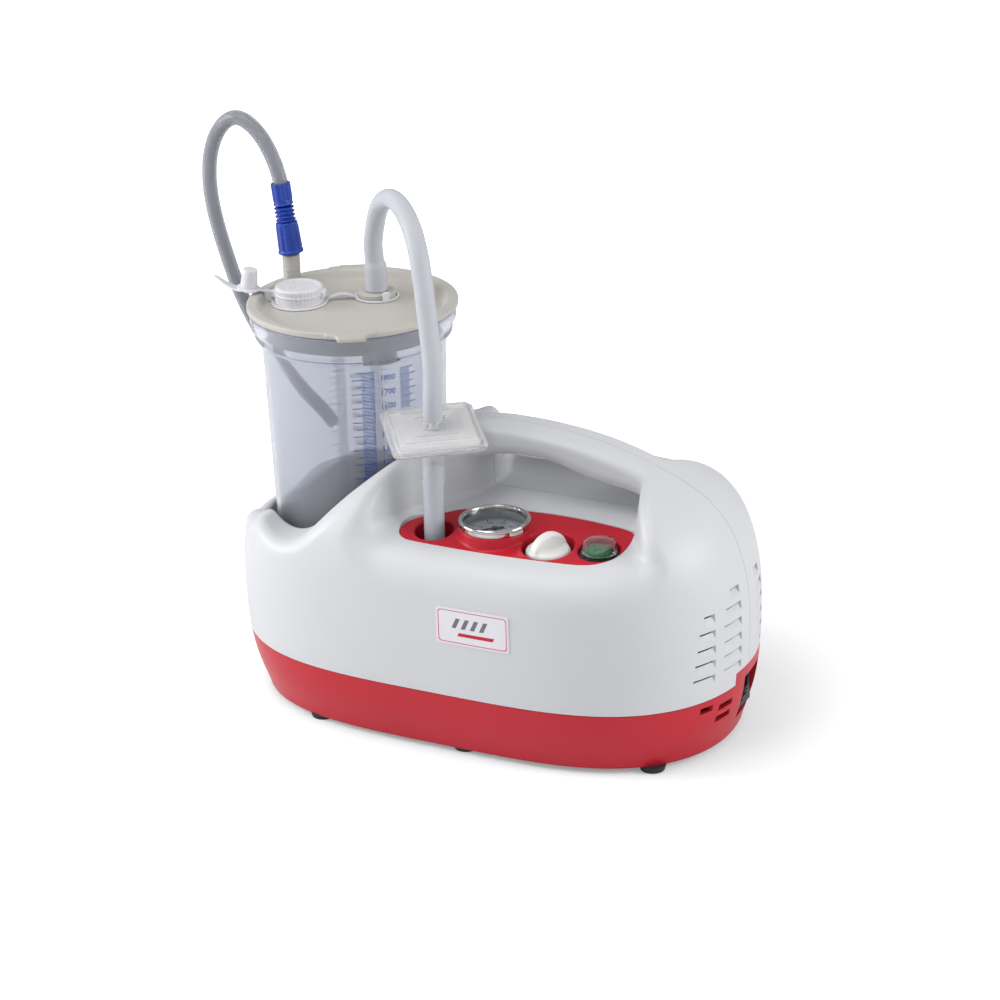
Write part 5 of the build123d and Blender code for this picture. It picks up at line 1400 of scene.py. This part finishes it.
# ---------------------------------------------------------------------------
# floor, lights, world and camera, in metres
# ---------------------------------------------------------------------------
def floor_material():
    """Near-white floor with painted light: it glows more with distance from the unit, so it stays
    darker round the unit, but only where it is seen directly.
    """
    m = bpy.data.materials.new("floor")
    m.use_nodes = True
    tree = m.node_tree
    noise = add_node(tree, "TexNoise", {"Scale": 3.0})
    tint = color_ramp(tree, noise.outputs["Fac"], (0.86, 0.86, 0.865), (0.88, 0.88, 0.885))
    path = add_node(tree, "LightPath")
    seen = add_node(tree, "Math", {0: path.outputs["Is Camera Ray"],
                                   1: path.outputs["Is Transmission Ray"]}, operation="MAXIMUM")
    coords = add_node(tree, "TexCoord")
    distance = add_node(tree, "VectorMath", {0: coords.outputs["Object"]}, operation="LENGTH")
    # painted light: the emission is weak near the unit and strong far off, a painted darker halo
    # round it
    glow = add_node(tree, "MapRange", {"Value": distance.outputs["Value"], "From Min": 0.2,
                                       "From Max": 0.9, "To Min": 0.22, "To Max": 0.75})
    strength = add_node(tree, "Math", {0: glow.outputs["Result"], 1: seen.outputs["Value"]},
                        operation="MULTIPLY")
    set_inputs(tree, tree.nodes["Principled BSDF"], {
        "Base Color": tint, "Roughness": 0.6, "Specular IOR Level": 0.1,
        "Emission Color": (1, 1, 1, 1), "Emission Strength": strength.outputs["Value"]})
    return m


def build_floor(half=6.0):
    m = floor_material()
    bm = bmesh.new()
    bm.faces.new([bm.verts.new((x * half, y * half, -FEET / 1000.0))
                  for x, y in ((-1, -1), (1, -1), (1, 1), (-1, 1))])
    me = bpy.data.meshes.new("floor")
    bm.to_mesh(me)
    bm.free()
    floor = link_object("floor", me)
    floor.data.materials.append(m)


def area_light(name, place, target, size, energy):
    light = bpy.data.lights.new(name, "AREA")
    light.energy, light.size = energy, size
    ob = link_object(name, light)
    ob.location = place
    ob.rotation_euler = (Vector(target) - Vector(place)).to_track_quat("-Z", "Y").to_euler()


def build_world():
    """Soft gradient for lighting, plain white for the camera."""
    world = bpy.context.scene.world or bpy.data.worlds.new("world")
    bpy.context.scene.world = world
    world.use_nodes = True
    tree = world.node_tree
    coords = add_node(tree, "TexCoord")
    mapping = add_node(tree, "Mapping", {"Vector": coords.outputs["Generated"],
                                         "Rotation": (0, math.radians(90), 0)})
    gradient = add_node(tree, "TexGradient", {"Vector": mapping.outputs["Vector"]})
    tint = color_ramp(tree, gradient.outputs["Fac"], (0.80, 0.81, 0.83), (1, 1, 1))
    soft = tree.nodes["Background"]
    set_inputs(tree, soft, {"Color": tint, "Strength": 0.52})
    white = add_node(tree, "Background", {"Color": (1, 1, 1, 1), "Strength": 1.0})
    path = add_node(tree, "LightPath")
    mix = add_node(tree, "MixShader", {
        "Fac": path.outputs["Is Camera Ray"],
        1: soft.outputs["Background"], 2: white.outputs["Background"]})
    set_inputs(tree, tree.nodes["World Output"], {"Surface": mix.outputs["Shader"]})


CAMERA_PLACE = (776.5608, -1566.9206, 876.0712)                     # mm above the floor
CAMERA_AZIMUTH, CAMERA_ELEVATION = 0.3882322316, 0.3986367090       # radians
AIM_RIGHT, AIM_UP = -0.0653976229, 0.00076976038    # tangents off that direction
LENS, SENSOR = 102.117492, 36.0


def build_camera():
    azimuth, elevation = CAMERA_AZIMUTH, CAMERA_ELEVATION
    back = Vector((math.sin(azimuth) * math.cos(elevation),
                   -math.cos(azimuth) * math.cos(elevation), math.sin(elevation)))
    right = Vector((math.cos(azimuth), math.sin(azimuth), 0))
    up = back.cross(right)
    forward = (right * AIM_RIGHT + up * AIM_UP - back).normalized()
    right = forward.cross(up).normalized()
    up = right.cross(forward)
    data = bpy.data.cameras.new("camera")
    data.sensor_fit, data.sensor_width, data.lens = "HORIZONTAL", SENSOR, LENS
    data.clip_start, data.clip_end = 0.05, 50.0
    camera = link_object("camera", data)
    turn = Matrix((right, up, -forward)).transposed().to_4x4()
    camera.matrix_world = Matrix.Translation(Vector(metres(*CAMERA_PLACE))) @ turn
    bpy.context.scene.camera = camera


build_floor()
area_light("left", (-1.60, -0.70, 0.80), target=(-0.05, 0, 0.12), size=0.9, energy=21.0)
area_light("right", (1.60, 0.25, 0.75), target=(0.1, 0, 0.12), size=0.9, energy=14.0)
area_light("top", (-0.30, -0.50, 1.6), target=(0, 0, 0.1), size=0.8, energy=8.0)
area_light("front", (0.15, -1.45, 1.35), target=(0.03, 0, 0.14), size=0.7, energy=1.2)
build_world()
view = bpy.context.scene.view_settings
view.view_transform = "Standard"
view.look = "None"
view.exposure = 0.0
build_camera()

bpy.context.view_layer.update()
